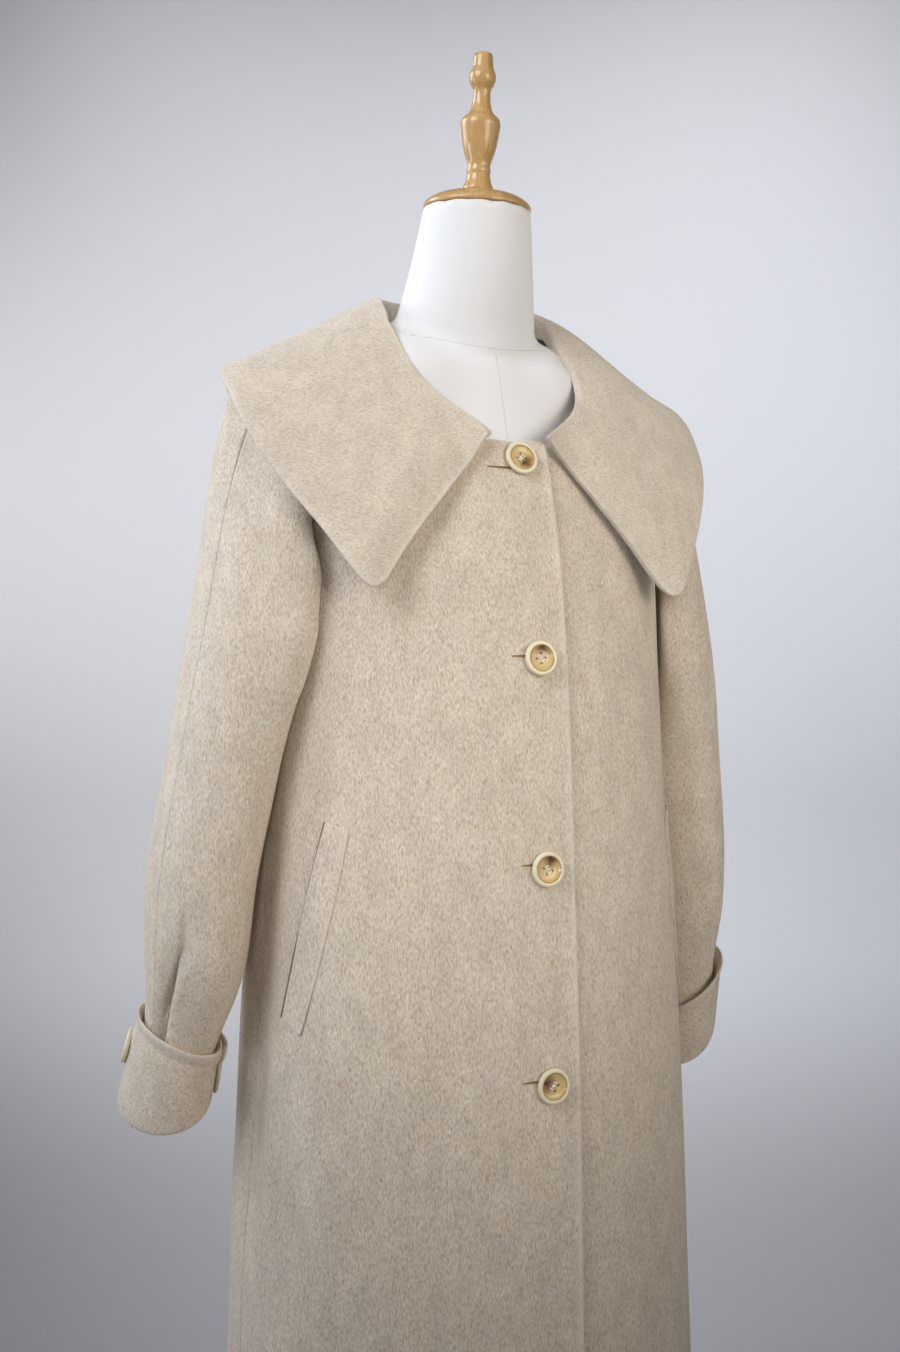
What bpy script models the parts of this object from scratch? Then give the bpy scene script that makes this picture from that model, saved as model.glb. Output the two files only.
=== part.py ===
"""Long coat with a wide cape collar, on a dress form with its stand.

Metres, +Z up. The front of the coat faces -Y and the wearer's left is +X.
The origin is on the floor under the middle of the stand.
"""
import math

import bmesh
import bpy
import numpy as np
from mathutils import Matrix, Vector

# Cloth
WALL = 0.0026
SEAM_GAP = 0.0005
COLLAR_THICK = 0.0046
CUFF_THICK = 0.0038
WELT_THICK = 0.0016
LIE_GAP = 0.0005

# Coat body, outer face: height, half width, depth in front, depth behind
BODY_NAMES = ("z", "half_width", "front", "back")
BODY = (
    (0.255, 0.2320, 0.1700, 0.1720),
    (0.450, 0.2240, 0.1640, 0.1660),
    (0.550, 0.2210, 0.1618, 0.1620),
    (0.650, 0.2175, 0.1592, 0.1570),
    (0.750, 0.2125, 0.1562, 0.1510),
    (0.845, 0.2065, 0.1505, 0.1440),
    (0.940, 0.1980, 0.1460, 0.1340),
    (1.040, 0.1945, 0.1405, 0.1270),
    (1.130, 0.1940, 0.1300, 0.1250),
)
HEM_Z = BODY[0][0]
UNDERARM_Z = BODY[-1][0]
WIDEST_Y = -0.005
SECTION_POWER = 2.3
BODY_ROWS = 12
FRONT_NECK_SHARE = 0.58
YOKE_STEPS = (0.14, 0.28, 0.42, 0.56, 0.70, 0.81, 0.89, 0.95, 0.985, 1.0)

# Front closing
LAP = 0.029
LAP_LIFT = 0.0040
LAP_FADE = 0.075

# Neckline from the lap edge to the shoulder, on the face of the chest: x, z
NECK_FRONT = (
    (-0.0290, 1.2700),
    (0.0290, 1.2630),
    (0.0500, 1.2750),
    (0.0750, 1.2930),
    (0.0895, 1.3170),
    (0.0930, 1.3460),
    (0.0895, 1.3700),
    (0.0830, 1.3825),
)
NECK_BACK = (
    (0.0000, 0.0680, 1.3900),
    (0.0400, 0.0610, 1.3890),
    (0.0670, 0.0390, 1.3860),
    (0.0830, 0.0080, 1.3825),
)
SHOULDER = ((0.0830, 0.0080, 1.3825), (0.1450, 0.0090, 1.3600), (0.2000, 0.0080, 1.3370))
# Share of the rounded shoulder curve in the chest: x, share
CHEST_ROUND = ((0.000, 0.64), (0.055, 0.64), (0.085, 0.48), (0.125, 0.78), (0.160, 1.00), (0.200, 1.00))
# Slope with which the upper back leaves the underarm line, as a share of its straight slope
BACK_START = 0.22
# Armhole round the left side from the underarm, by the front, the shoulder and the back
ARMHOLE_FRONT = (
    (0.1855, -0.0380, 1.1660),
    (0.1670, -0.0690, 1.2100),
    (0.1700, -0.0560, 1.2750),
    (0.2000, 0.0080, 1.3370),
)
ARMHOLE_BACK = (
    (0.1875, 0.0360, 1.1670),
    (0.1790, 0.0650, 1.2200),
    (0.1850, 0.0560, 1.2820),
    (0.2000, 0.0080, 1.3370),
)

# Sleeve, outer face: middle height, x, y, half sizes, slopes of the ring in x and y
SLEEVE_NAMES = ("z", "x", "y", "half_x", "half_y", "slope_x", "slope_y")
SLEEVE = (
    (1.100, 0.2120, -0.0030, 0.0530, 0.0740, 0.00, 0.00),
    (1.045, 0.2230, -0.0010, 0.0515, 0.0710, 0.01, 0.01),
    (1.000, 0.2320, 0.0020, 0.0500, 0.0660, 0.02, 0.02),
    (0.900, 0.2510, 0.0080, 0.0455, 0.0610, 0.08, 0.10),
    (0.825, 0.2570, 0.0150, 0.0430, 0.0580, 0.22, 0.28),
    (0.785, 0.2620, 0.0200, 0.0360, 0.0460, 0.28, 0.32),
)
SLEEVE_END = {
    -1: (
        (0.752, 0.2670, 0.0245, 0.0288, 0.0352, 0.31, 0.345),
        (0.715, 0.2700, 0.0330, 0.0285, 0.0352, 0.15, 0.35),
    ),
    1: (
        (0.752, 0.2680, 0.0215, 0.0330, 0.0385, 0.45, 0.25),
        (0.715, 0.2715, 0.0290, 0.0335, 0.0398, 0.40, 0.25),
    ),
}
# Forward fullness of the sleeve head on the inner front: depth, middle and width in degrees
FULLNESS = (0.013, 58.0, 32.0)
SLEEVE_ROWS = 13
CAP_ROWS = 5
UNDERARM_ROUND = 0.018
SLEEVE_ANGLES = (12, 26, 40, 54, 68, 82, 95, 106, 115, 122, 128, 133, 137, 141, 145, 150, 156,
                 166, 172, 179, 192, 206, 220, 234, 248, 262, 276, 290, 304, 318, 332, 346)
SEAM_ANGLE = {-1: 162.0, 1: 124.0}
# Tuck into the cuff: depth, widths of its outer and front sides in degrees, top, middle line
PLEAT_DEPTH = 0.010
PLEAT_WIDE = 13.0
PLEAT_STEEP = 5.0
PLEAT_TOP_Z = 0.850
PLEAT_MIDDLE = (136.0, 10.0)

# Cuff, outer face: middle z, x, y, half sizes, slopes
CUFF_BOTTOM = {
    -1: (0.6855, 0.2766, 0.0420, 0.0410, 0.0490, -0.18, 0.35),
    1: (0.6890, 0.2740, 0.0350, 0.0385, 0.0460, 0.62, 0.38),
}
CUFF_TOP = {
    -1: (0.7526, 0.2673, 0.0250, 0.0345, 0.0425, 0.31, 0.347),
    1: (0.7500, 0.2690, 0.0200, 0.0400, 0.0470, 0.75, 0.12),
}
CUFF_START = 2.0
CUFF_OVERLAP = 26.0
CUFF_STEP = 0.0046
CUFF_ROWS = 3
CUFF_COLUMNS = 30

# Collar, middle of the cloth, left half from the back to the front end:
# foot x y z, roll x y z, outer edge x y z, bulge
COLLAR = (
    (0.0000, 0.0690, 1.3935, 0.0000, 0.0780, 1.4260, 0.0000, 0.1560, 1.2700, 0.014),
    (0.0410, 0.0620, 1.3930, 0.0420, 0.0700, 1.4245, 0.0780, 0.1500, 1.2750, 0.014),
    (0.0660, 0.0410, 1.3905, 0.0670, 0.0460, 1.4195, 0.1480, 0.1270, 1.2870, 0.013),
    (0.0785, 0.0110, 1.3870, 0.0790, 0.0130, 1.4100, 0.2040, 0.0850, 1.3070, 0.012),
    (0.0860, -0.0110, 1.3785, 0.0870, -0.0130, 1.3925, 0.2340, 0.0300, 1.3200, 0.011),
    (0.0890, -0.0425, 1.3535, 0.0905, -0.0415, 1.3620, 0.2430, -0.0150, 1.3140, 0.011),
    (0.0830, -0.0672, 1.3250, 0.0870, -0.0665, 1.3310, 0.2400, -0.0520, 1.2770, 0.011),
    (0.0700, -0.0868, 1.3030, 0.0745, -0.0865, 1.3040, 0.2240, -0.0780, 1.2340, 0.010),
    (0.0470, -0.1014, 1.2862, 0.0520, -0.1015, 1.2830, 0.1950, -0.1050, 1.1890, 0.007),
    (0.0360, -0.1062, 1.2790, 0.0400, -0.1065, 1.2750, 0.1700, -0.1240, 1.1520, 0.003),
    (0.0306, -0.1080, 1.2757, 0.0345, -0.1088, 1.2715, 0.1570, -0.1285, 1.1375, 0.002),
    (0.0282, -0.1088, 1.2732, 0.0320, -0.1098, 1.2690, 0.1465, -0.1285, 1.1375, 0.002),
    (0.0262, -0.1093, 1.2712, 0.0300, -0.1103, 1.2670, 0.1370, -0.1275, 1.1460, 0.002),
)
COLLAR_STATIONS = 19
COLLAR_STAND = 2
COLLAR_FALL = 9
COLLAR_TILT = 0.012

# Pocket welt on the right front: height and x at the side edge, height and x at the front edge
WELT = (
    (0.9370, 0.1750, 0.9300, 0.1605),
    (0.8820, 0.1860, 0.8730, 0.1710),
    (0.8270, 0.1950, 0.8150, 0.1830),
    (0.7700, 0.2030, 0.7570, 0.1950),
)
WELT_ROWS = 7

# Buttons
BUTTON_R = 0.0155
BUTTON_THICK = 0.0046
BUTTON_RIM = 0.0042
BUTTON_DISH = 0.0011
HOLE_R = 0.0013
HOLE_OFF = 0.0041
BUTTON_STEPS = 16
FRONT_BUTTON_Z = (1.2500, 1.0746, 0.8945, 0.7116)
BUTTON_TURN = -0.06
BUTTON_SEAT = 0.0014
BUTTON_SPIN = (20.0, 8.0, -10.0, 35.0)
CUFF_BUTTON_ANGLE = {-1: 207.0, 1: 181.0}
CUFF_BUTTON_HEIGHT = 0.58
CUFF_BUTTON_SEAT = 0.0009

# Dress form: middle height, half width, front depth, back depth, middle y, forward slope, fall at the sides
FORM_NAMES = ("z", "half_width", "front", "back", "y", "slope", "fall")
FORM = (
    (0.7000, 0.1500, 0.1050, 0.1200, 0.000, 0.00, 1.0),
    (0.7060, 0.1560, 0.1110, 0.1260, 0.000, 0.00, 1.0),
    (0.8000, 0.1650, 0.1160, 0.1300, 0.000, 0.00, 1.0),
    (0.8800, 0.1600, 0.1100, 0.1220, 0.000, 0.00, 1.0),
    (0.9600, 0.1340, 0.1000, 0.0980, 0.000, 0.00, 1.0),
    (1.0200, 0.1220, 0.0960, 0.0850, 0.000, 0.00, 1.0),
    (1.0800, 0.1320, 0.1060, 0.0880, 0.000, 0.00, 1.0),
    (1.1400, 0.1440, 0.1150, 0.0960, 0.000, 0.00, 1.0),
    (1.2000, 0.1520, 0.1040, 0.1000, 0.000, 0.00, 1.0),
    (1.2600, 0.1580, 0.0905, 0.0940, 0.000, 0.02, 1.2),
    (1.3000, 0.1660, 0.0820, 0.0780, 0.001, 0.05, 1.6),
    (1.3250, 0.1700, 0.0775, 0.0640, 0.002, 0.08, 2.1),
    (1.3450, 0.1640, 0.0755, 0.0560, 0.003, 0.11, 3.0),
    (1.3578, 0.1480, 0.0725, 0.0510, 0.005, 0.16, 3.4),
    (1.3670, 0.1180, 0.0690, 0.0490, 0.003, 0.22, 3.0),
    (1.3755, 0.0820, 0.0660, 0.0500, -0.001, 0.28, 1.9),
    (1.3870, 0.0700, 0.0600, 0.0530, -0.006, 0.30, 1.2),
    (1.4050, 0.0640, 0.0585, 0.0560, -0.012, 0.27, 1.0),
    (1.4330, 0.0585, 0.0570, 0.0555, -0.0185, 0.20, 1.0),
    (1.4640, 0.0540, 0.0535, 0.0530, -0.0250, 0.13, 1.0),
    (1.4910, 0.0500, 0.0500, 0.0500, -0.0295, 0.0875, 1.0),
)
FORM_COLUMNS = 28
NECK_TOP = (0.0, -0.0295, 1.4910)
NECK_TILT = 5.0

# Neck cap and finial: radius, height over the neck top, run top to bottom
CAP_PROFILE = (
    (0.0000, 0.0172),
    (0.0150, 0.0168),
    (0.0300, 0.0150),
    (0.0420, 0.0115),
    (0.0492, 0.0065),
    (0.0512, 0.0030),
    (0.0505, 0.0004),
    (0.0000, 0.0004),
)
FINIAL_PROFILE = (
    (0.0000, 0.1430),
    (0.0080, 0.1426),
    (0.0097, 0.1405),
    (0.0097, 0.1285),
    (0.0120, 0.1262),
    (0.0133, 0.1205),
    (0.0120, 0.1140),
    (0.0084, 0.1105),
    (0.0080, 0.1060),
    (0.0097, 0.0895),
    (0.0150, 0.0860),
    (0.0190, 0.0825),
    (0.0196, 0.0775),
    (0.0182, 0.0715),
    (0.0168, 0.0590),
    (0.0138, 0.0495),
    (0.0102, 0.0410),
    (0.0117, 0.0385),
    (0.0117, 0.0345),
    (0.0108, 0.0335),
    (0.0117, 0.0325),
    (0.0117, 0.0275),
    (0.0150, 0.0210),
    (0.0154, 0.0179),
    (0.0000, 0.0179),
)
TURN_STEPS = 24

# Stand
BASE_R = 0.200
BASE_H = 0.022
POLE_R = 0.0130
STAND_Y = 0.0

COLOURS = {
    "wool": (0.62, 0.53, 0.43, 1.0),
    "horn": (0.42, 0.24, 0.11, 1.0),
    "linen": (0.83, 0.81, 0.77, 1.0),
    "wood": (0.66, 0.42, 0.20, 1.0),
    "steel": (0.56, 0.57, 0.58, 1.0),
}


def smooth_path(points, count, closed=False):
    """Even steps along a smooth line through the given points."""
    pts = [np.array(p, float) for p in points]
    n = len(pts)
    spans = n if closed else n - 1
    out = []
    for k in range(count):
        t = spans * k / (count if closed else count - 1)
        i = min(int(t), spans - 1)
        out.append(smooth_span(pts, i, t - i, closed))
    return out


def smooth_span(pts, i, t, closed=False):
    """One point on a Catmull-Rom span."""
    n = len(pts)
    if closed:
        a, b, c, d = (pts[(i + k) % n] for k in (-1, 0, 1, 2))
    else:
        b, c = pts[i], pts[i + 1]
        a = pts[i - 1] if i > 0 else 2 * b - c
        d = pts[i + 2] if i + 2 < n else 2 * c - b
    return 0.5 * (2 * b + (c - a) * t + (2 * a - 5 * b + 4 * c - d) * t * t
                  + (3 * b - 3 * c + d - a) * t ** 3)


def table_at(table, z, column=0):
    """A smooth row of a table read at a height; rows may run up or down."""
    rows = sorted((np.array(r, float) for r in table), key=lambda r: r[column])
    zs = [r[column] for r in rows]
    if z <= zs[0]:
        return rows[0].copy()
    if z >= zs[-1]:
        return rows[-1].copy()
    i = max(k for k in range(len(zs) - 1) if zs[k] <= z)
    t = (z - zs[i]) / (zs[i + 1] - zs[i])
    row = smooth_span(rows, i, t)
    row[column] = z
    return row


def ease(t):
    """Smooth step from 0 to 1."""
    t = min(max(t, 0.0), 1.0)
    return t * t * (3 - 2 * t)


def body_point(angle, z, inset=0.0):
    """A point of the coat body: angle 0 is the middle of the front, 90 the left side."""
    row = table_at(BODY, z)
    a = math.radians(angle)
    s, c = math.sin(a), math.cos(a)
    p = 2.0 / SECTION_POWER
    depth = (row[2] + WIDEST_Y) if c >= 0 else (row[3] - WIDEST_Y)
    x = (row[1] - inset) * math.copysign(abs(s) ** p, s)
    y = WIDEST_Y - (depth - inset) * math.copysign(abs(c) ** p, c)
    return np.array((x, y, z))


def body_y(x, z, inset=0.0):
    """The y of the front of the coat body at an x."""
    row = table_at(BODY, z)
    r = min(abs(x) / (row[1] - inset), 1.0)
    return WIDEST_Y - (row[2] + WIDEST_Y - inset) * (1 - r ** SECTION_POWER) ** (1 / SECTION_POWER)


def body_half_width(y, z):
    """The half width of the coat body at a y."""
    row = table_at(BODY, z)
    depth = (row[2] + WIDEST_Y) if y < WIDEST_Y else (row[3] - WIDEST_Y)
    r = min(abs(y - WIDEST_Y) / depth, 1.0)
    return row[1] * (1 - r ** SECTION_POWER) ** (1 / SECTION_POWER)


def lap_lift(x):
    """How far the right front is lifted over the left front."""
    return LAP_LIFT * ease((x + LAP + 0.006 + LAP_FADE) / LAP_FADE)


def edge_columns(count, narrow=0.02):
    """Steps from 0 to 1 with a narrow last step at the seam."""
    inner = np.linspace(0.0, 1.0, count)
    return list(inner[:-1]) + [1.0 - narrow / 2, 1.0]


def angle_of_x(x, z):
    """Body angle at which the front has a given x."""
    row = table_at(BODY, z)
    s = math.copysign(min(abs(x) / row[1], 1.0) ** (SECTION_POWER / 2.0), x)
    return math.degrees(math.asin(s))


def edge_line(points, share):
    """A point at a share of the way along a smooth line."""
    pts = [np.array(p, float) for p in points]
    t = share * (len(pts) - 1)
    i = min(int(t), len(pts) - 2)
    return smooth_span(pts, i, t - i)


def rounding(v):
    """Flat and rounded ways of falling back from the chest to the shoulder."""
    flat = 0.62 * v + 0.38 * v * v
    return flat, 0.15 * v + 0.85 * (1.0 - math.sqrt(max(1.0 - v ** 3, 0.0)))


def chest_y(x, z):
    """The y of the inner face of the chest over the underarm."""
    x = abs(x)
    (x0, y0, z0), (x1, y1, z1), (x2, y2, z2) = SHOULDER
    ridge = np.interp(x, (0.0, x0, x1, x2), (z0 + x0 * (z0 - z1) / (x1 - x0), z0, z1, z2))
    v = min((z - UNDERARM_Z) / (ridge - UNDERARM_Z), 1.0)
    flat, bent = rounding(v)
    share = table_at(CHEST_ROUND, x)[1]
    low = body_y(x, UNDERARM_Z, WALL)
    return low + (y0 - low) * (flat + (bent - flat) * share)


def front_grid():
    """Inner face of the left front: rows from the hem to the neck and shoulder."""
    columns = edge_columns(13)
    rows = []
    for k in range(BODY_ROWS):
        z = HEM_Z + (UNDERARM_Z - HEM_Z) * k / (BODY_ROWS - 1)
        rows.append([front_low(u, z) for u in columns])
    neck = tuple((x, 0.0, z) for x, z in NECK_FRONT)
    top = yoke_top(columns, neck, FRONT_NECK_SHARE)
    return rows + chest_rows(columns, rows[-1], top)


def chest_rows(columns, bottom, top):
    """Rows over the chest, fanned out so that they meet the side of the neck squarely."""
    arm_line = (tuple(bottom[-1]),) + ARMHOLE_FRONT
    count = len(YOKE_STEPS)
    rows = []
    for k, step in enumerate(YOKE_STEPS):
        row = []
        for u, b, t in zip(columns, bottom, top):
            even = (k + 1) / count
            v = even + (step - even) * ease((u - FRONT_NECK_SHARE + 0.08) / 0.25)
            fan = ease((u - 0.10) / 0.30) * min(1.0, 2.0 - 2.0 * u)
            arm_v = 1 - (1 - v) ** 1.35
            wx = (1 - u * u) * v ** (1 + 2.0 * fan) + u * u * arm_v
            wz = 1 - (1 - v) ** (1 + 0.5 * fan + 0.35 * u)
            line = bottom[-1] + (top[-1] - bottom[-1]) * arm_v
            arm = edge_line(arm_line, arm_v)
            x = b[0] + (t[0] - b[0]) * wx + u ** 1.5 * (arm[0] - line[0])
            z = b[2] + (t[2] - b[2]) * wz + u ** 1.5 * (arm[2] - line[2])
            y = chest_y(x, z) + u ** 4 * (arm[1] - chest_y(arm[0], arm[2]))
            row.append(np.array((x, y, z)))
        rows.append(row)
    return rows


def yoke_top(columns, neck, share):
    """Top edge of a front or back: along the neck, then along the shoulder."""
    top = []
    for u in columns:
        if u <= share:
            top.append(edge_line(neck, u / share))
        else:
            top.append(edge_line(SHOULDER, (u - share) / (1 - share)))
    return top


def front_low(u, z):
    """One point of the lower front, from the lap edge to the side seam."""
    start = angle_of_x(-LAP, z)
    seam = 90.0 - math.degrees(SEAM_GAP / 2 / table_at(BODY, z)[1])
    return body_point(start + (seam - start) * u, z, WALL)


def yoke_rows(columns, bottom, top, armhole, share):
    """Rows over the upper back, spread between the four edges of the piece."""
    rows = []
    arm_line = (tuple(bottom[-1]),) + armhole
    count = len(YOKE_STEPS)
    for k, step in enumerate(YOKE_STEPS):
        even = (k + 1) / count
        row = []
        for u, b, t in zip(columns, bottom, top):
            over = ease((u - share + 0.08) / 0.25)
            v = even + (step - even) * over
            round_top = rounding(v)[1]
            flat = BACK_START * v + (1.0 - BACK_START) * v * v
            w = np.array((v, flat + (round_top - flat) * over, v))
            arm_w = np.array((v, round_top, v))
            at_arm = (1 - arm_w) * bottom[-1] + arm_w * top[-1]
            row.append((1 - w) * b + w * t + u ** 1.5 * (edge_line(arm_line, v) - at_arm))
        rows.append(row)
    return rows


def back_grid():
    """Inner face of the back, right side seam to left side seam."""
    columns = edge_columns(9)
    half = []
    for k in range(BODY_ROWS):
        z = HEM_Z + (UNDERARM_Z - HEM_Z) * k / (BODY_ROWS - 1)
        gap = math.degrees(SEAM_GAP / 2 / table_at(BODY, z)[1])
        half.append([body_point(180.0 - (90.0 - gap) * u, z, WALL) for u in columns])
    apart = np.array((0.0, SEAM_GAP, 0.0))
    top = [p + apart for p in yoke_top(columns, NECK_BACK, 0.42)]
    half += yoke_rows(columns, half[-1], top, ARMHOLE_BACK, 0.42)
    rows = []
    for row in half:
        mirrored = [p * np.array((-1.0, 1.0, 1.0)) for p in reversed(row[1:])]
        rows.append(mirrored + row)
    return rows


def armhole_loop(count):
    """The armhole as a closed line of points, from the underarm by the front and shoulder."""
    under = body_point(90.0, UNDERARM_Z, WALL)
    front = smooth_path([under] + list(ARMHOLE_FRONT), 61)
    back = smooth_path([under] + list(ARMHOLE_BACK), 61)
    loop = []
    for k in range(count):
        a = 360.0 * k / count
        if a <= 180.0:
            loop.append(front[round(a / 3)])
        else:
            loop.append(back[round((360.0 - a) / 3)])
    return loop


def sleeve_ring_point(angle, row):
    """A point of a sleeve ring: 0 is the inner side, 90 the front, 180 the outer side."""
    z, x, y, half_x, half_y, slope_x, slope_y = row
    a = math.radians(angle)
    dx = -half_x * math.cos(a)
    dy = -half_y * math.sin(a)
    return np.array((x + dx, y + dy, z + slope_x * dx + slope_y * dy))


def pleat(angle, z):
    """Depth of the tuck over the cuff, steep on its front side."""
    if z > PLEAT_TOP_Z:
        return 0.0
    fade = ease((PLEAT_TOP_Z - z) / 0.075) * ease((z - 0.715) / 0.025)
    off = angle - PLEAT_MIDDLE[0] - PLEAT_MIDDLE[1] * ease((0.83 - z) / 0.08)
    side = PLEAT_WIDE if off > 0 else PLEAT_STEEP
    return fade * PLEAT_DEPTH * math.exp(-(off / side) ** 2)


def fullness(p, angle, share):
    """Ease the inner front of the sleeve head forward over the armhole."""
    depth, middle, width = FULLNESS
    much = depth * share * math.exp(-((angle - middle) / width) ** 2)
    return p + np.array((-0.25 * much, -much, 0.0))


def sleeve_point(angle, v, side):
    """Outer face of a sleeve on the left: v 0 is the armhole, 1 the end inside the cuff."""
    cap_share = CAP_ROWS / (CAP_ROWS + SLEEVE_ROWS)
    table = SLEEVE + SLEEVE_END[side]
    high, low = table[0][0], table[-1][0]
    if v >= cap_share:
        t = (v - cap_share) / (1 - cap_share)
        z = high + (low - high) * t
        p = sleeve_ring_point(angle, table_at(table, z))
        a = math.radians(angle)
        depth = pleat(angle, p[2])
        p += np.array((math.cos(a), math.sin(a), 0.0)) * depth
        return clear_of_body(fullness(p, angle, ease((z - 0.97) / 0.13)), 1.0)
    t = v / cap_share
    start = armhole_point(angle)
    end = sleeve_ring_point(angle, table[0])
    end = clear_of_body(fullness(end, angle, 1.0), 1.0)
    a = math.radians(angle)
    top = 0.5 - 0.5 * math.cos(a)
    span = float(np.linalg.norm(end - start))
    out = np.array((0.62 + 0.38 * top, -0.60 * math.sin(a), -0.75 + 0.55 * top))
    out /= np.linalg.norm(out)
    down = np.array((0.20, 0.0, -1.0))
    down /= np.linalg.norm(down)
    b = start + out * span * (0.30 - 0.12 * top)
    c = end - down * span * (0.33 + 0.12 * top)
    p = (1 - t) ** 3 * start + 3 * t * (1 - t) ** 2 * b + 3 * t * t * (1 - t) * c + t ** 3 * end
    return clear_of_body(p, t)


ARM_LOOP = []


def armhole_point(angle):
    """Start of the sleeve at an angle, just outside the edge of the body."""
    k = (angle % 360.0) / 360.0 * len(ARM_LOOP)
    i = int(k) % len(ARM_LOOP)
    j = (i + 1) % len(ARM_LOOP)
    p = ARM_LOOP[i] + (ARM_LOOP[j] - ARM_LOOP[i]) * (k - int(k))
    a = math.radians(angle)
    top = 0.5 - 0.5 * math.cos(a)
    low = UNDERARM_Z + math.hypot(p[2] - UNDERARM_Z, UNDERARM_ROUND)
    p = np.array((p[0], p[1], low))
    shift = np.array((WALL + 0.0034 - 0.0014 * top, -WALL * math.sin(a), (WALL + 0.0008) * top))
    return p + shift


def clear_of_body(p, t):
    """Keep a sleeve point outside the coat body below the armhole."""
    if p[2] > UNDERARM_Z:
        return p
    need = body_half_width(p[1], p[2]) + 0.0008 + 0.004 * ease(t) * ease((UNDERARM_Z - p[2]) / 0.05)
    over = p[0] - need
    soft = 0.006 * ease((UNDERARM_Z - p[2]) / 0.03) + 1e-6
    if over > soft:
        return p
    q = p.copy()
    q[0] = need + max(0.25 * (over + soft) ** 2 / soft if over > -soft else 0.0, 0.0)
    return q


def sleeve_grid(side, first, last):
    """Outer face of one sleeve piece between two angles."""
    gap = math.degrees(0.0008 / 0.045)
    lo, hi = first + gap / 2, last - gap / 2
    between = [float(a) for a in SLEEVE_ANGLES if lo + 4.0 < a < hi - 4.0]
    angles = [lo, lo + 1.5] + between + [hi - 1.5, hi]
    total = CAP_ROWS + SLEEVE_ROWS
    rows = []
    for k in range(total + 1):
        v = k / total
        row = [sleeve_point(a, v, side) * np.array((side, 1.0, 1.0)) for a in angles]
        rows.append(row)
    return rows


def cuff_point(angle, t, side, out=0.0):
    """Outer face of a cuff on the left: t 0 is the lower edge, 1 the upper."""
    low = sleeve_ring_point(angle, CUFF_BOTTOM[side])
    high = sleeve_ring_point(angle, CUFF_TOP[side])
    p = low + (high - low) * t
    a = math.radians(angle)
    p[0] += -out * math.cos(a)
    p[1] += -out * math.sin(a)
    return p


def cuff_grid(side):
    """Outer face of one cuff, a band whose end laps over its start on the inner side."""
    rows = []
    span = 360.0 + CUFF_OVERLAP
    for k in range(CUFF_ROWS + 1):
        t = k / CUFF_ROWS
        row = []
        for i in range(CUFF_COLUMNS + 1):
            along = i / CUFF_COLUMNS
            angle = CUFF_START + span * along
            left = (1.0 - along) * span
            out = CUFF_STEP * ease((62.0 - left) / 34.0)
            lift = 0.0
            if left < 14.0:
                lift = 0.16 * (1 - math.sqrt(max(1 - (1 - left / 14.0) ** 2, 0.0)))
            p = cuff_point(angle, lift + (1 - lift) * t, side, out)
            row.append(p * np.array((side, 1.0, 1.0)))
        rows.append(row)
    return rows


def collar_grid():
    """Middle face of the collar, right front end round the back to the left front end."""
    table = [np.array(r, float) for r in COLLAR]
    stations = smooth_path(table, COLLAR_STATIONS)
    half = [collar_section(s) for s in stations]
    sections = []
    for sec in reversed(half[1:]):
        sections.append([collar_tilt(p * np.array((-1.0, 1.0, 1.0))) for p in sec])
    for sec in half:
        sections.append([collar_tilt(p) for p in sec])
    return sections


def collar_tilt(p):
    """The left shoulder of the collar rides a little higher than the right."""
    q = p.copy()
    near = math.exp(-((p[0] - 0.115) / 0.045) ** 2) * ease((p[1] + 0.065) / 0.06)
    q[2] += COLLAR_TILT * near
    return q


def collar_section(row):
    """One section of the collar: up the stand, over the roll and out over the shoulder."""
    foot, roll, edge, bulge = row[0:3], row[3:6], row[6:9], row[9]
    chord = edge - roll
    length = np.linalg.norm(chord)
    along = chord / length
    up = np.array((0.0, 0.0, 1.0))
    normal = up - along * float(np.dot(up, along))
    normal /= np.linalg.norm(normal)
    points = []
    for k in range(COLLAR_STAND):
        points.append(foot + (roll - foot) * k / COLLAR_STAND)
    for k in range(COLLAR_FALL + 1):
        t = k / COLLAR_FALL
        hump = bulge * (1 - abs(2 * t - 1) ** 2.6)
        points.append(roll + chord * t + normal * hump)
    return points


def welt_grid(side):
    """Inner face of the pocket welt, from the points of the front moved out."""
    rows = []
    table = smooth_path(WELT, WELT_ROWS)
    for r in table:
        row = []
        for k in range(4):
            t = k / 3
            z = r[0] + (r[2] - r[0]) * t
            x = r[1] + (r[3] - r[1]) * t
            p = np.array((x, body_y(x, z), z))
            row.append(p + body_normal(x, z) * LIE_GAP)
        rows.append(row)
    lift = [[p * np.array((side, 1.0, 1.0)) for p in row] for row in rows]
    return lift


def body_normal(x, z):
    """Outward normal of the front of the body."""
    e = 0.001
    px = np.array((2 * e, body_y(x + e, z) - body_y(x - e, z), 0.0))
    pz = np.array((0.0, body_y(x, z + e) - body_y(x, z - e), 2 * e))
    n = np.cross(px, pz)
    n /= np.linalg.norm(n)
    return n if n[1] < 0 else -n


def material(slot):
    """The plain material of a slot."""
    mat = bpy.data.materials.get(slot)
    if mat:
        return mat
    mat = bpy.data.materials.new(slot)
    mat.use_nodes = True
    shader = mat.node_tree.nodes["Principled BSDF"]
    shader.inputs["Base Color"].default_value = COLOURS[slot]
    shader.inputs["Roughness"].default_value = 0.35 if slot in ("horn", "wood", "steel") else 0.9
    shader.inputs["Metallic"].default_value = 1.0 if slot == "steel" else 0.0
    return mat


def add_object(name, mesh, slot, collection):
    """Put a mesh in the scene as one named piece."""
    obj = bpy.data.objects.new(name, mesh)
    mesh.materials.append(material(slot))
    collection.objects.link(obj)
    return obj


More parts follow.
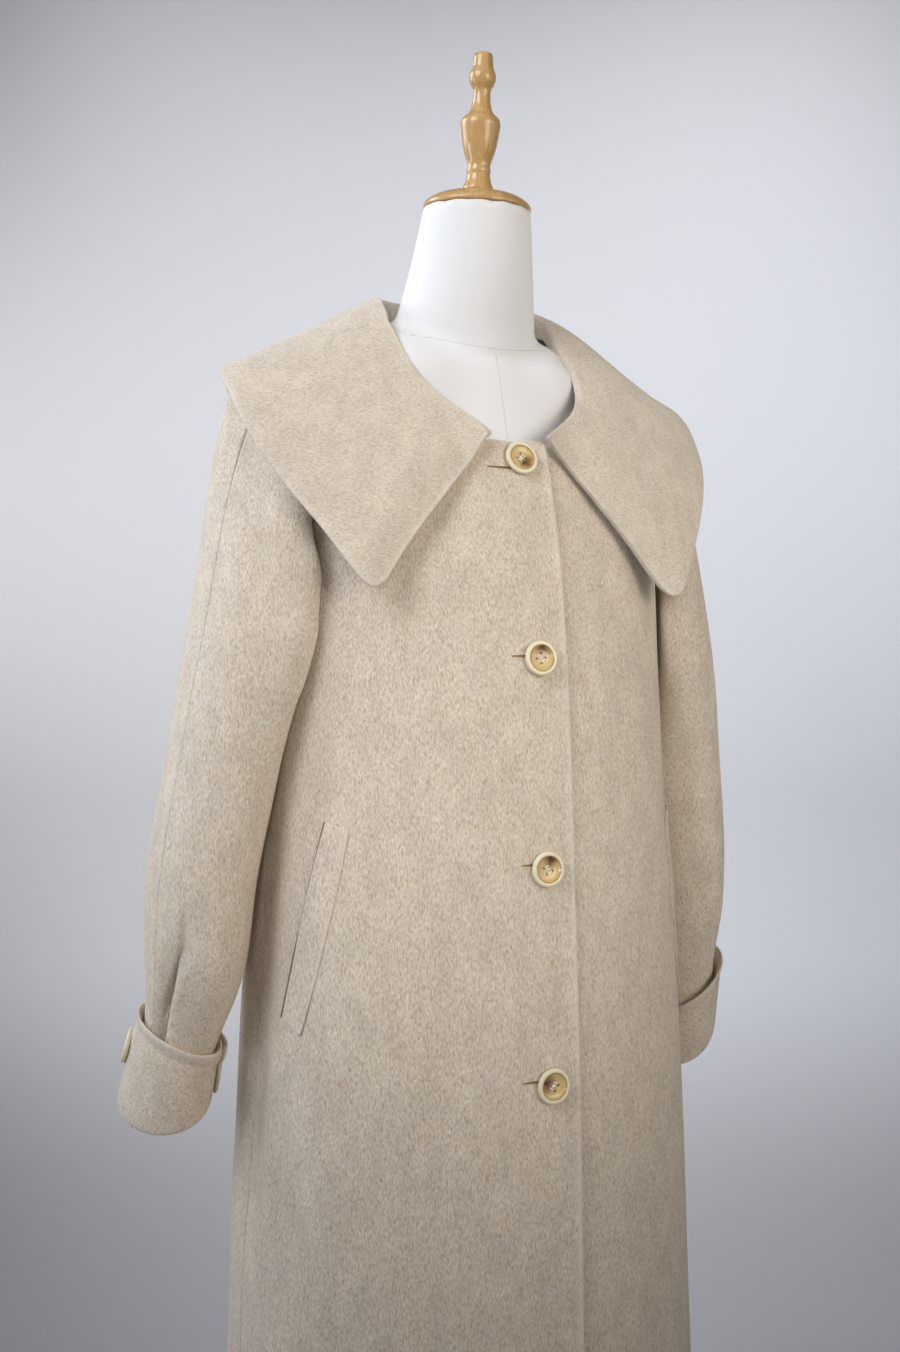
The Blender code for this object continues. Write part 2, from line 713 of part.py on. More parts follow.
def grid_mesh(name, rows, flip):
    """A sheet of four-sided faces through rows of points."""
    wide = len(rows[0])
    verts = [tuple(p) for row in rows for p in row]
    faces = []
    for r in range(len(rows) - 1):
        for c in range(wide - 1):
            a, b = r * wide + c, r * wide + c + 1
            quad = (a, b, b + wide, a + wide)
            faces.append(tuple(reversed(quad)) if flip else quad)
    mesh = bpy.data.meshes.new(name)
    mesh.from_pydata(verts, [], faces)
    mesh.update()
    return mesh


def add_cloth(name, rows, thick, offset, flip, collection):
    """A cloth piece: a sheet thickened by a Solidify modifier."""
    obj = add_object(name, grid_mesh(name, rows, flip), "wool", collection)
    mod = obj.modifiers.new("cloth", "SOLIDIFY")
    mod.thickness = thick
    mod.offset = offset
    mod.use_even_offset = True
    mod.use_quality_normals = True
    mod.use_rim = True
    return obj


def add_turned(name, profile, slot, matrix, collection, steps=TURN_STEPS):
    """A piece turned from a profile of radius and height."""
    mesh = bpy.data.meshes.new(name)
    verts = [(r, 0.0, h) for r, h in profile]
    mesh.from_pydata(verts, [(i, i + 1) for i in range(len(verts) - 1)], [])
    obj = add_object(name, mesh, slot, collection)
    mod = obj.modifiers.new("turn", "SCREW")
    mod.angle = math.tau
    mod.steps = steps
    mod.render_steps = steps
    mod.use_merge_vertices = True
    mod.merge_threshold = 0.00001
    obj.matrix_world = matrix
    return obj


def button_profile():
    """Radius and height of a button, face up."""
    r, t = BUTTON_R, BUTTON_THICK
    return (
        (0.0, t - 0.0008 - BUTTON_DISH),
        (r - BUTTON_RIM - 0.0016, t - 0.0008 - BUTTON_DISH),
        (r - BUTTON_RIM, t - 0.0002),
        (r - 0.0022, t),
        (r - 0.0006, t - 0.0010),
        (r, t - 0.0022),
        (r - 0.0016, 0.0),
        (0.0, 0.0),
    )


def add_button(name, place, normal, spin, collection, cutters):
    """A four-hole button lying on a surface."""
    n = Vector(normal).normalized()
    turn = Vector((0.0, 0.0, 1.0)).rotation_difference(n).to_matrix().to_4x4()
    matrix = Matrix.Translation(Vector(place)) @ turn @ Matrix.Rotation(math.radians(spin), 4, "Z")
    obj = add_turned(name, button_profile(), "horn", matrix, collection, BUTTON_STEPS)
    mesh = bpy.data.meshes.new(name + "_holes")
    bm = bmesh.new()
    for k in range(4):
        a = math.tau * (k / 4 + 1.5 / BUTTON_STEPS)
        at = Matrix.Translation((HOLE_OFF * math.cos(a), HOLE_OFF * math.sin(a), BUTTON_THICK / 2))
        bmesh.ops.create_cone(bm, cap_ends=True, segments=5, radius1=HOLE_R, radius2=HOLE_R,
                              depth=BUTTON_THICK * 2, matrix=at @ Matrix.Rotation(a, 4, "Z"))
    bm.to_mesh(mesh)
    bm.free()
    cutter = bpy.data.objects.new(name + "_holes", mesh)
    cutters.objects.link(cutter)
    cutter.matrix_world = matrix
    cutter.hide_render = True
    cutter.display_type = "WIRE"
    mod = obj.modifiers.new("holes", "BOOLEAN")
    mod.operation = "DIFFERENCE"
    mod.solver = "EXACT"
    mod.object = cutter
    return obj


def form_mesh():
    """The covered torso and neck as stacked rings."""
    bm = bmesh.new()
    rings = []
    for z, half_width, front, back, y, slope, fall in FORM:
        ring = []
        for k in range(FORM_COLUMNS):
            a = math.tau * k / FORM_COLUMNS
            s, c = math.sin(a), math.cos(a)
            depth = front if c >= 0 else back
            dx = half_width * s
            dy = -depth * math.copysign(abs(c) ** fall, c)
            ring.append(bm.verts.new((dx, y + dy, z + slope * dy)))
        rings.append(ring)
    for low, high in zip(rings, rings[1:]):
        for k in range(FORM_COLUMNS):
            j = (k + 1) % FORM_COLUMNS
            bm.faces.new((low[k], low[j], high[j], high[k]))
    bm.faces.new(list(reversed(rings[0])))
    bm.faces.new(rings[-1])
    mesh = bpy.data.meshes.new("form_torso")
    bm.to_mesh(mesh)
    bm.free()
    return mesh


def build_coat(coat, cutters):
    """All cloth pieces and buttons."""
    left = front_grid()
    right = [[p * np.array((-1.0, 1.0, 1.0)) for p in row] for row in left]
    for row in right:
        for p in row:
            p[1] -= lap_lift(p[0])
    add_cloth("front_right", right, WALL, 1.0, True, coat)
    add_cloth("front_left", left, WALL, 1.0, False, coat)
    add_cloth("back", back_grid(), WALL, 1.0, True, coat)
    ARM_LOOP.extend(armhole_loop(120))
    for side, word in ((-1, "right"), (1, "left")):
        seam = SEAM_ANGLE[side]
        upper = sleeve_grid(side, 0.0, seam)
        under = sleeve_grid(side, seam, 360.0)
        add_cloth(f"sleeve_{word}_upper", upper, WALL, -1.0, side > 0, coat)
        add_cloth(f"sleeve_{word}_under", under, WALL, -1.0, side > 0, coat)
        add_cloth(f"cuff_{word}", cuff_grid(side), CUFF_THICK, -1.0, side < 0, coat)
        welt = welt_grid(side)
        add_cloth(f"pocket_welt_{word}", welt, WELT_THICK, 1.0, side < 0, coat)
    add_cloth("collar", collar_grid(), COLLAR_THICK, 0.0, False, coat)
    for k, z in enumerate(FRONT_BUTTON_Z):
        place, normal = front_button_seat(z, right)
        add_button(f"button_front_{k + 1}", place, normal, BUTTON_SPIN[k], coat, cutters)
    for side, word in ((-1, "right"), (1, "left")):
        at = np.array((side, 1.0, 1.0))
        angle = CUFF_BUTTON_ANGLE[side]
        mid = cuff_point(angle, CUFF_BUTTON_HEIGHT, side)
        du = cuff_point(angle + 2, CUFF_BUTTON_HEIGHT, side) - mid
        dv = cuff_point(angle, CUFF_BUTTON_HEIGHT + 0.05, side) - mid
        n = np.cross(du, dv)
        n /= np.linalg.norm(n)
        n = n if n[0] > 0 else -n
        add_button(f"button_cuff_{word}", (mid + n * CUFF_BUTTON_SEAT) * at, n * at, 30.0, coat, cutters)


def sheet_y(rows, x, z):
    """The y of a front sheet at an x and z, read between its points."""
    line = []
    for row in rows:
        pts = sorted(row, key=lambda p: p[0])
        xs = [p[0] for p in pts]
        line.append((np.interp(x, xs, [p[2] for p in pts]), np.interp(x, xs, [p[1] for p in pts])))
    return float(np.interp(z, [q[0] for q in line], [q[1] for q in line]))


def front_button_seat(z, rows):
    """Where a front button lies on the right front, and the way it faces."""
    step = 0.012
    slope = (sheet_y(rows, 0.0, z + step) - sheet_y(rows, 0.0, z - step)) / (2 * step)
    normal = np.array((BUTTON_TURN, -1.0, slope))
    normal /= np.linalg.norm(normal)
    base = np.array((0.0, sheet_y(rows, 0.0, z), z))
    return base + normal * (WALL + BUTTON_SEAT), normal


def build_form(form):
    """The dress form and its stand."""
    add_object("form_torso", form_mesh(), "linen", form)
    tilt = Matrix.Translation(Vector(NECK_TOP)) @ Matrix.Rotation(math.radians(NECK_TILT), 4, "X")
    add_turned("neck_cap", CAP_PROFILE, "wood", tilt, form, 24)
    add_turned("finial", FINIAL_PROFILE, "wood", tilt, form, 14)
    at = Matrix.Translation((0.0, STAND_Y, 0.0))
    pole_top = FORM[0][0] - SEAM_GAP
    pole = ((0.0, pole_top), (POLE_R, pole_top), (POLE_R, BASE_H + SEAM_GAP), (0.0, BASE_H + SEAM_GAP))
    add_turned("stand_pole", pole, "steel", at, form, 20)
    base = (
        (0.0, BASE_H),
        (BASE_R - 0.012, BASE_H),
        (BASE_R - 0.003, BASE_H - 0.004),
        (BASE_R, BASE_H - 0.011),
        (BASE_R, 0.003),
        (BASE_R - 0.003, 0.0),
        (0.0, 0.0),
    )
    add_turned("stand_base", base, "wood", at, form, 32)


def main():
    """Clear the scene and build every piece."""
    for obj in list(bpy.data.objects):
        bpy.data.objects.remove(obj, do_unlink=True)
    part = bpy.data.collections.new("long_coat_on_dress_form")
    bpy.context.scene.collection.children.link(part)
    cutters = bpy.data.collections.new("cutters")
    bpy.context.scene.collection.children.link(cutters)
    build_coat(part, cutters)
    build_form(part)


main()
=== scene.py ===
"""Long beige wool coat on an ivory dress form: cloth, buttons, form, light and camera."""
import logging
import math
from dataclasses import dataclass, field
from enum import Enum

import bmesh
import bpy
import numpy as np
from mathutils import Matrix, Vector
from mathutils.bvhtree import BVHTree
from mathutils.kdtree import KDTree


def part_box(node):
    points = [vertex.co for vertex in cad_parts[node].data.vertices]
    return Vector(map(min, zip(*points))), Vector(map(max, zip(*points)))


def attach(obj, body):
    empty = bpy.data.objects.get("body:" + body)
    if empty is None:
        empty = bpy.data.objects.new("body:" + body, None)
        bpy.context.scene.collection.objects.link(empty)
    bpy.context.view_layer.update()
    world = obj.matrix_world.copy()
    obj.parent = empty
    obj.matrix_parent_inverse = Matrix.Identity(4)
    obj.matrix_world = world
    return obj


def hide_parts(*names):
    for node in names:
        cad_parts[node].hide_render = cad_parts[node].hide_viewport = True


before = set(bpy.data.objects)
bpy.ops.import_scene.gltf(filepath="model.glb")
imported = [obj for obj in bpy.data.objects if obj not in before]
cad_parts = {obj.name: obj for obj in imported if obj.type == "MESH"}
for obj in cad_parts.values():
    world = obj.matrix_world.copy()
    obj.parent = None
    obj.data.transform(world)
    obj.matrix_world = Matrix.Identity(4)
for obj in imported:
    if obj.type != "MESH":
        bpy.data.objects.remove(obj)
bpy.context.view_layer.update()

log = logging.getLogger("long_coat")
BODY = "root"
IMAGE_HEIGHT = 1352
MM = 0.001
# Sockets of a Mix node that blends colours: the share, the two colours and the result.
SHARE, ONE, TWO, BLEND = 0, 6, 7, 2

Point = tuple[float, float, float]
Pull = tuple[Point, float, Point]


class Slot(Enum):
    """Finishes that the record names."""

    WOOL = "wool"
    HORN = "horn"
    LINEN = "linen"
    WOOD = "wood"
    STEEL = "steel"


class Nap(Enum):
    """Way in which the brushed fibres lie: fleck sizes along x, y and z in mm, and their strength.

    A fibre is about 0.03 mm thick, so the flecks stand for locks of many fibres.
    """

    DOWN = (1.0, 1.0, 3.4, 1.02)
    ACROSS = (2.4, 2.4, 1.1, 0.7)
    SHORT = (1.2, 1.2, 1.9, 1.0)


class Bulge(Enum):
    """What a piece of cloth is wrapped round, which gives the way out for a fold."""

    TRUNK = "trunk"
    ARM_RIGHT = "arm_right"
    ARM_LEFT = "arm_left"
    SHOULDERS = "shoulders"


def to_linear(code: str) -> tuple[float, float, float, float]:
    """Turns an sRGB hex colour to linear red, green, blue and alpha.

    Args:
        code: Six hex digits.

    Returns:
        The linear colour with an alpha of 1.
    """
    values = [int(code[i:i + 2], 16) / 255.0 for i in (0, 2, 4)]
    linear = [v / 12.92 if v <= 0.04045 else ((v + 0.055) / 1.055) ** 2.4 for v in values]
    return linear[0], linear[1], linear[2], 1.0


def add_node(tree: bpy.types.NodeTree, kind: str, settings: dict | None = None,
             links: dict | None = None) -> bpy.types.Node:
    """Adds one shader node with its settings and links.

    Args:
        tree: The material's node tree.
        kind: Blender's name of the node type, after "ShaderNode".
        settings: Attribute names, input names or input numbers with their values.
        links: Input names or numbers with the output sockets that feed them.

    Returns:
        The new node.
    """
    made = tree.nodes.new("ShaderNode" + kind)
    for key, value in (settings or {}).items():
        if isinstance(key, str) and hasattr(made, key):
            setattr(made, key, value)
        else:
            made.inputs[key].default_value = value
    for key, source in (links or {}).items():
        tree.links.new(source, made.inputs[key])
    return made


def new_material(name: str, settings: dict) -> tuple[bpy.types.Material, bpy.types.NodeTree, bpy.types.Node,
                                                    bpy.types.NodeSocket]:
    """Makes a material with a Principled shader at its output.

    Args:
        name: The real material and how its surface was made.
        settings: Values that are the same all over the surface, for the shader's own sockets.

    Returns:
        The material, its node tree, the shader node and the socket that gives the places on the piece.
    """
    made = bpy.data.materials.new(name)
    made.use_nodes = True
    tree = made.node_tree
    tree.nodes.clear()
    shader = add_node(tree, "BsdfPrincipled", settings)
    add_node(tree, "OutputMaterial", links={"Surface": shader.outputs["BSDF"]})
    return made, tree, shader, add_node(tree, "TexCoord").outputs["Object"]


@dataclass(frozen=True)
class BrushedWool:
    """Double-faced wool, woven and then brushed: pale locks of fibre and tan flecks on a beige ground."""

    ground: str = "CEBFA7"
    pale: str = "ECE4D9"
    tan: str = "B08F63"
    sheen: str = "F1EEEA"
    roughness: float = 0.92
    blotch_mm: tuple[float, float, float] = (17.0, 17.0, 34.0)
    blotch_tone: tuple[float, float] = (0.92, 1.06)
    # Single hairs are too fine to show, so the fuzz is drawn in tufts of many.
    fuzz_mm: float = 0.9
    fleck_share: float = 0.5
    fleck_scale: float = 0.72
    # How far the lip is paled: partly the fuzz's own colour, partly a painted highlight.
    lip_fuzz_and_highlight_share: float = 0.65

    def make(self, name: str, nap: Nap) -> bpy.types.Material:
        """Makes the cloth for one way of the nap.

        Args:
            name: Name of the material.
            nap: How the fibres lie.

        Returns:
            The material.
        """
        made, tree, shader, where = new_material(name, {
            "Roughness": self.roughness, "Specular IOR Level": 0.12, "Sheen Weight": 0.25,
            "Sheen Roughness": 0.55, "Sheen Tint": to_linear(self.sheen)})
        *lock_mm, strength = nap.value
        size = [1.0 / (v * MM) for v in lock_mm]
        wide = [1.0 / (v * MM) for v in self.blotch_mm]
        locks_at = add_node(tree, "Mapping", {"Scale": size}, {"Vector": where})
        flecks_at = add_node(tree, "Mapping",
                             {"Scale": [v * self.fleck_scale for v in size], "Location": (7.3, 2.1, 5.9)},
                             {"Vector": where})
        blotch_at = add_node(tree, "Mapping", {"Scale": wide}, {"Vector": where})
        locks = add_node(tree, "TexNoise", {"Scale": 1.0, "Detail": 2.0, "Roughness": 0.6},
                         {"Vector": locks_at.outputs["Vector"]})
        flecks = add_node(tree, "TexNoise", {"Scale": 1.0, "Detail": 1.0, "Roughness": 0.5},
                          {"Vector": flecks_at.outputs["Vector"]})
        blotch = add_node(tree, "TexNoise", {"Scale": 1.0, "Detail": 2.0, "Roughness": 0.55},
                          {"Vector": blotch_at.outputs["Vector"]})
        fuzz = add_node(tree, "TexNoise", {"Scale": 1.0 / (self.fuzz_mm * MM), "Detail": 2.0},
                        {"Vector": where})
        paleness = add_node(tree, "MapRange", {"From Min": 0.51 - 0.17 / strength,
                                               "From Max": 0.51 + 0.17 / strength},
                            {"Value": locks.outputs["Fac"]})
        lit = add_node(tree, "Mix",
                       {"data_type": "RGBA", ONE: to_linear(self.ground), TWO: to_linear(self.pale)},
                       {SHARE: paleness.outputs["Result"]})
        darkness = add_node(tree, "MapRange",
                            {"From Min": 0.52, "From Max": 0.72, "To Max": self.fleck_share * strength},
                            {"Value": flecks.outputs["Fac"]})
        flecked = add_node(tree, "Mix", {"data_type": "RGBA", TWO: to_linear(self.tan)},
                           {SHARE: darkness.outputs["Result"], ONE: lit.outputs[BLEND]})
        # The brushed lip of a cut edge stands up; its paler tone is partly the fuzz's own colour and partly
        # a painted highlight along the edge.
        rim = add_node(tree, "Attribute", {"attribute_name": "rim"})
        lip = add_node(tree, "Math", {"operation": "MULTIPLY", 1: self.lip_fuzz_and_highlight_share},
                       {0: rim.outputs["Fac"]})
        edged = add_node(tree, "Mix", {"data_type": "RGBA", TWO: to_linear(self.pale)},
                         {SHARE: lip.outputs["Value"], ONE: flecked.outputs[BLEND]})
        tone = add_node(tree, "MapRange", {"From Min": 0.3, "From Max": 0.7, "To Min": self.blotch_tone[0],
                                           "To Max": self.blotch_tone[1]}, {"Value": blotch.outputs["Fac"]})
        toned = add_node(tree, "VectorMath", {"operation": "SCALE"},
                         {0: edged.outputs[BLEND], "Scale": tone.outputs["Result"]})
        height = add_node(tree, "Math", {"operation": "ADD"},
                          {0: locks.outputs["Fac"], 1: fuzz.outputs["Fac"]})
        bump = add_node(tree, "Bump", {"Strength": 0.3, "Distance": 0.5 * MM},
                        {"Height": height.outputs["Value"]})
        tree.links.new(toned.outputs["Vector"], shader.inputs["Base Color"])
        tree.links.new(bump.outputs["Normal"], shader.inputs["Normal"])
        return made


@dataclass(frozen=True)
class PolishedHorn:
    """Cut and polished horn: a cream rim round an amber dish with a brown cloud, partly the horn's own cloud
    and partly painted shade in the bowl.
    """

    rim: str = "F1E7C6"
    dish: str = "DCC085"
    cloud_and_shade: str = "6B4423"
    rim_radius_mm: float = 12.0
    wave_mm: float = 6.25
    roughness: float = 0.22

    def make(self, name: str, centre: Vector, cloud_and_shade_at: Vector) -> bpy.types.Material:
        """Makes the horn of one button.

        Args:
            name: Name of the material.
            centre: Middle of the button.
            cloud_and_shade_at: Middle of the brown cloud.

        Returns:
            cloud_and_shade_at: Middle of the brown cloud, which is partly painted shade in the bowl.
        """
        made, tree, shader, where = new_material(name, {"Roughness": self.roughness, "IOR": 1.55})
        off = add_node(tree, "VectorMath", {"operation": "DISTANCE", 1: centre}, {0: where})
        rim = add_node(tree, "MapRange", {"From Min": (self.rim_radius_mm - 0.4) * MM,
                                          "From Max": (self.rim_radius_mm + 0.4) * MM},
                       {"Value": off.outputs["Value"]})
        # The brown cloud darkens towards its middle: partly the horn's own cloud, partly painted shade in
        # the bowl.
        near = add_node(tree, "VectorMath", {"operation": "DISTANCE", 1: cloud_and_shade_at}, {0: where})
        waves = add_node(tree, "TexNoise", {"Scale": 1.0 / (self.wave_mm * MM), "Detail": 3.0,
                                            "Distortion": 0.6},
                         {"Vector": where})
        spread = add_node(tree, "Math", {"operation": "MULTIPLY_ADD", 1: 8.0 * MM},
                          {0: waves.outputs["Fac"], 2: near.outputs["Value"]})
        shade = add_node(tree, "MapRange", {"From Min": 5.5 * MM, "From Max": 14.0 * MM,
                                            "To Min": 1.0, "To Max": 0.0},
                         {"Value": spread.outputs["Value"]})
        # The wall of the dish is cut steeply, and the thin brown line inside the rim is painted shade on
        # that wall.
        wall = add_node(tree, "MapRange", {"From Min": (self.rim_radius_mm - 1.6) * MM,
                                           "From Max": (self.rim_radius_mm - 0.5) * MM, "To Max": 0.55},
                        {"Value": off.outputs["Value"]})
        brown = add_node(tree, "Math", {"operation": "MAXIMUM"},
                         {0: shade.outputs["Result"], 1: wall.outputs["Result"]})
        amber = add_node(tree, "Mix", {"data_type": "RGBA", ONE: to_linear(self.dish),
                                       TWO: to_linear(self.cloud_and_shade)}, {SHARE: brown.outputs["Value"]})
        whole = add_node(tree, "Mix", {"data_type": "RGBA", TWO: to_linear(self.rim)},
                         {SHARE: rim.outputs["Result"], ONE: amber.outputs[BLEND]})
        tree.links.new(whole.outputs[BLEND], shader.inputs["Base Color"])
        return made


@dataclass(frozen=True)
class TwistedThread:
    """Polished polyester sewing thread: a fine twist that catches the light."""

    colour: str = "FAF5EA"
    dark: str = "E2D8C4"
    twist_mm: float = 0.6

    def make(self, name: str) -> bpy.types.Material:
        """Makes the thread.

        Args:
            name: Name of the material.

        Returns:
            The material.
        """
        made, tree, shader, where = new_material(name, {"Roughness": 0.5})
        twist = add_node(tree, "TexNoise", {"Scale": 1.0 / (self.twist_mm * MM), "Detail": 1.0},
                         {"Vector": where})
        tone = add_node(tree, "Mix", {"data_type": "RGBA", ONE: to_linear(self.dark),
                                      TWO: to_linear(self.colour)}, {SHARE: twist.outputs["Fac"]})
        tree.links.new(tone.outputs[BLEND], shader.inputs["Base Color"])
        return made


@dataclass(frozen=True)
class IvoryCover:
    """Close-knit ivory cover stretched over board: matt, with a very fine tooth."""

    colour: str = "F3F4F5"
    shade: str = "ECECEC"
    # The loops of the knit are about 0.5 mm, drawn twice as coarse so that they show.
    tooth_mm: float = 1.1
    patch_mm: float = 1000.0 / 14.0

    def make(self, name: str) -> bpy.types.Material:
        """Makes the cover.

        Args:
            name: Name of the material.

        Returns:
            The material.
        """
        made, tree, shader, where = new_material(name, {"Roughness": 0.75, "Specular IOR Level": 0.25})
        tooth = add_node(tree, "TexNoise", {"Scale": 1.0 / (self.tooth_mm * MM), "Detail": 2.0},
                         {"Vector": where})
        patch = add_node(tree, "TexNoise", {"Scale": 1.0 / (self.patch_mm * MM), "Detail": 2.0},
                         {"Vector": where})
        tone = add_node(tree, "Mix", {"data_type": "RGBA", ONE: to_linear(self.shade),
                                      TWO: to_linear(self.colour)}, {SHARE: patch.outputs["Fac"]})
        bump = add_node(tree, "Bump", {"Strength": 0.12, "Distance": 0.2 * MM},
                        {"Height": tooth.outputs["Fac"]})
        tree.links.new(tone.outputs[BLEND], shader.inputs["Base Color"])
        tree.links.new(bump.outputs["Normal"], shader.inputs["Normal"])
        return made


@dataclass(frozen=True)
class VarnishedWood:
    """Pale beech turned on a lathe and varnished: long grain, two glued halves, a soft gloss."""

    pale: str = "DDBB82"
    deep: str = "B98A4C"
    half_shade: float = 0.86
    grain_mm: float = 2.4
    grain_long: float = 26.0
    roughness: float = 0.26

    def make(self, name: str, axis: Point) -> bpy.types.Material:
        """Makes the wood.

        Args:
            name: Name of the material.
            axis: A point on the turning axis, where the two halves meet.

        Returns:
            The material.
        """
        made, tree, shader, where = new_material(name, {"Roughness": self.roughness, "Coat Weight": 0.35,
                                                        "Coat Roughness": 0.12})
        fine = 1.0 / (self.grain_mm * MM)
        along = add_node(tree, "Mapping", {"Scale": (fine, fine, fine / self.grain_long)}, {"Vector": where})
        grain = add_node(tree, "TexNoise", {"Scale": 1.0, "Detail": 4.0, "Distortion": 0.4},
                         {"Vector": along.outputs["Vector"]})
        tone = add_node(tree, "Mix", {"data_type": "RGBA", ONE: to_linear(self.pale),
                                      TWO: to_linear(self.deep)}, {SHARE: grain.outputs["Fac"]})
        side = add_node(tree, "VectorMath", {"operation": "SUBTRACT", 1: axis}, {0: where})
        split = add_node(tree, "SeparateXYZ", links={"Vector": side.outputs["Vector"]})
        half = add_node(tree, "MapRange", {"From Min": -0.3 * MM, "From Max": 0.3 * MM, "To Min": 1.0,
                                           "To Max": self.half_shade}, {"Value": split.outputs["X"]})
        halved = add_node(tree, "VectorMath", {"operation": "SCALE"},
                          {0: tone.outputs[BLEND], "Scale": half.outputs["Result"]})
        tree.links.new(halved.outputs["Vector"], shader.inputs["Base Color"])
        return made


@dataclass(frozen=True)
class BrushedSteel:
    """Drawn and brushed steel tube: fine lines round a grey metal."""

    colour: str = "B9BABC"
    # Brush lines are about 0.05 mm wide, drawn far coarser so that they show.
    line_mm: float = 0.8
    line_long_mm: float = 25.0
    roughness: tuple[float, float] = (0.28, 0.45)

    def make(self, name: str) -> bpy.types.Material:
        """Makes the steel.

        Args:
            name: Name of the material.

        Returns:
            The material.
        """
        made, tree, shader, where = new_material(name, {"Base Color": to_linear(self.colour),
                                                        "Metallic": 1.0})
        long = 1.0 / (self.line_long_mm * MM)
        lines = add_node(tree, "Mapping", {"Scale": (long, long, 1.0 / (self.line_mm * MM))},
                         {"Vector": where})
        brush = add_node(tree, "TexNoise", {"Scale": 1.0, "Detail": 2.0},
                         {"Vector": lines.outputs["Vector"]})
        rough = add_node(tree, "MapRange", {"To Min": self.roughness[0], "To Max": self.roughness[1]},
                         {"Value": brush.outputs["Fac"]})
        tree.links.new(rough.outputs["Result"], shader.inputs["Roughness"])
        return made


@dataclass(frozen=True)
class StudioPaint:
    """Matt emulsion rolled on the wall and the floor: pale, with painted shade that greys it towards the
    floor.
    """

    pale: str = "EAECF2"
    # Colour of the painted shade near the floor.
    grey: str = "BFC0C5"
    painted_shade_fade: tuple[float, float] = (0.0, 0.5)
    glow: float = 0.3
    glow_reach: tuple[float, float] = (1.2, 3.0)
    glow_end: tuple[float, float] = (0.2, 0.95)

    def make(self, name: str) -> bpy.types.Material:
        """Makes the paint.

        Args:
            name: Name of the material.

        Returns:
            The material.
        """
        made, tree, shader, where = new_material(name, {"Roughness": 0.9, "Specular IOR Level": 0.1,
                                                        "Emission Color": to_linear(self.pale)})
        split = add_node(tree, "SeparateXYZ", links={"Vector": where})
        smooth = {"interpolation_type": "SMOOTHSTEP"}
        # Painted shade: the paint greys towards the floor, where less light falls.
        painted_shade_fade = add_node(tree, "MapRange", {**smooth, "From Min": self.painted_shade_fade[0], "From Max": self.painted_shade_fade[1]},
                        {"Value": split.outputs["Z"]})
        tone = add_node(tree, "Mix", {"data_type": "RGBA", ONE: to_linear(self.grey),
                                      TWO: to_linear(self.pale)}, {SHARE: painted_shade_fade.outputs["Result"]})
        tree.links.new(tone.outputs[BLEND], shader.inputs["Base Color"])
        # Far from the part the floor glows a little, in place of lamps that would also light the part.
        flat = add_node(tree, "CombineXYZ", links={"X": split.outputs["X"], "Y": split.outputs["Y"]})
        reach = add_node(tree, "VectorMath", {"operation": "LENGTH"}, {0: flat.outputs["Vector"]})
        far = add_node(tree, "MapRange", {**smooth, "From Min": self.glow_reach[0],
                                          "From Max": self.glow_reach[1], "To Max": self.glow},
                       {"Value": reach.outputs["Value"]})
        off_wall = add_node(tree, "MapRange", {**smooth, "From Min": self.glow_end[0],
                                               "From Max": self.glow_end[1], "To Min": 1.0, "To Max": 0.0},
                            {"Value": split.outputs["Y"]})
        glow = add_node(tree, "Math", {"operation": "MULTIPLY"},
                        {0: far.outputs["Result"], 1: off_wall.outputs["Result"]})
        tree.links.new(glow.outputs["Value"], shader.inputs["Emission Strength"])
        # The wall's outer face is clear, so that it doesn't hide the part's back from a camera behind it.
        outer = add_node(tree, "NewGeometry").outputs["Backfacing"]
        clear = add_node(tree, "BsdfTransparent").outputs["BSDF"]
        wall = add_node(tree, "MixShader", links={0: outer, 1: shader.outputs["BSDF"], 2: clear})
        tree.links.new(wall.outputs["Shader"], tree.nodes["Material Output"].inputs["Surface"])
        return made


@dataclass(frozen=True)
class Fold:
    """A soft ridge (height over 0) or trough along a line of points, in metres.

    Seen from outside and along the line, `steep` is how much of the width is left on the right side.
    """

    line: tuple[Point, ...]
    width: float
    height: float
    steep: float = 1.0


def points_of(mesh: bpy.types.Mesh) -> np.ndarray:
    """Reads a mesh's points.

    Args:
        mesh: The mesh.

    Returns:
        One row of x, y and z for each point.
    """
    flat = np.empty(len(mesh.vertices) * 3)
    mesh.vertices.foreach_get("co", flat)
    return flat.reshape(-1, 3)


def way_out(points: np.ndarray, bulge: Bulge) -> np.ndarray:
    """Finds the way out of the cloth at each point, the same on both of its faces.

    Args:
        points: Points of the cloth.
        bulge: What the cloth is wrapped round.

    Returns:
        One unit vector for each point.
    """
    x, y, z = points.T
    if bulge is Bulge.TRUNK:
        out = np.stack((x * 0.6, y, np.maximum(z - 1.2, 0.0) * 0.6), 1)
    elif bulge is Bulge.SHOULDERS:
        out = np.stack((x * 0.6, y, np.full_like(z, 0.07)), 1)
    else:
        side = -1.0 if bulge is Bulge.ARM_RIGHT else 1.0
        middle_x = np.interp(z, (0.68, 0.79, 0.9, 1.1, 1.3), (0.276, 0.262, 0.251, 0.212, 0.185))
        middle_y = np.interp(z, (0.68, 0.79, 0.9, 1.1), (0.041, 0.02, 0.008, -0.003))
        out = np.stack((x - side * middle_x, y - middle_y, np.zeros_like(z)), 1)
    return out / np.maximum(np.linalg.norm(out, axis=1, keepdims=True), 1e-6)


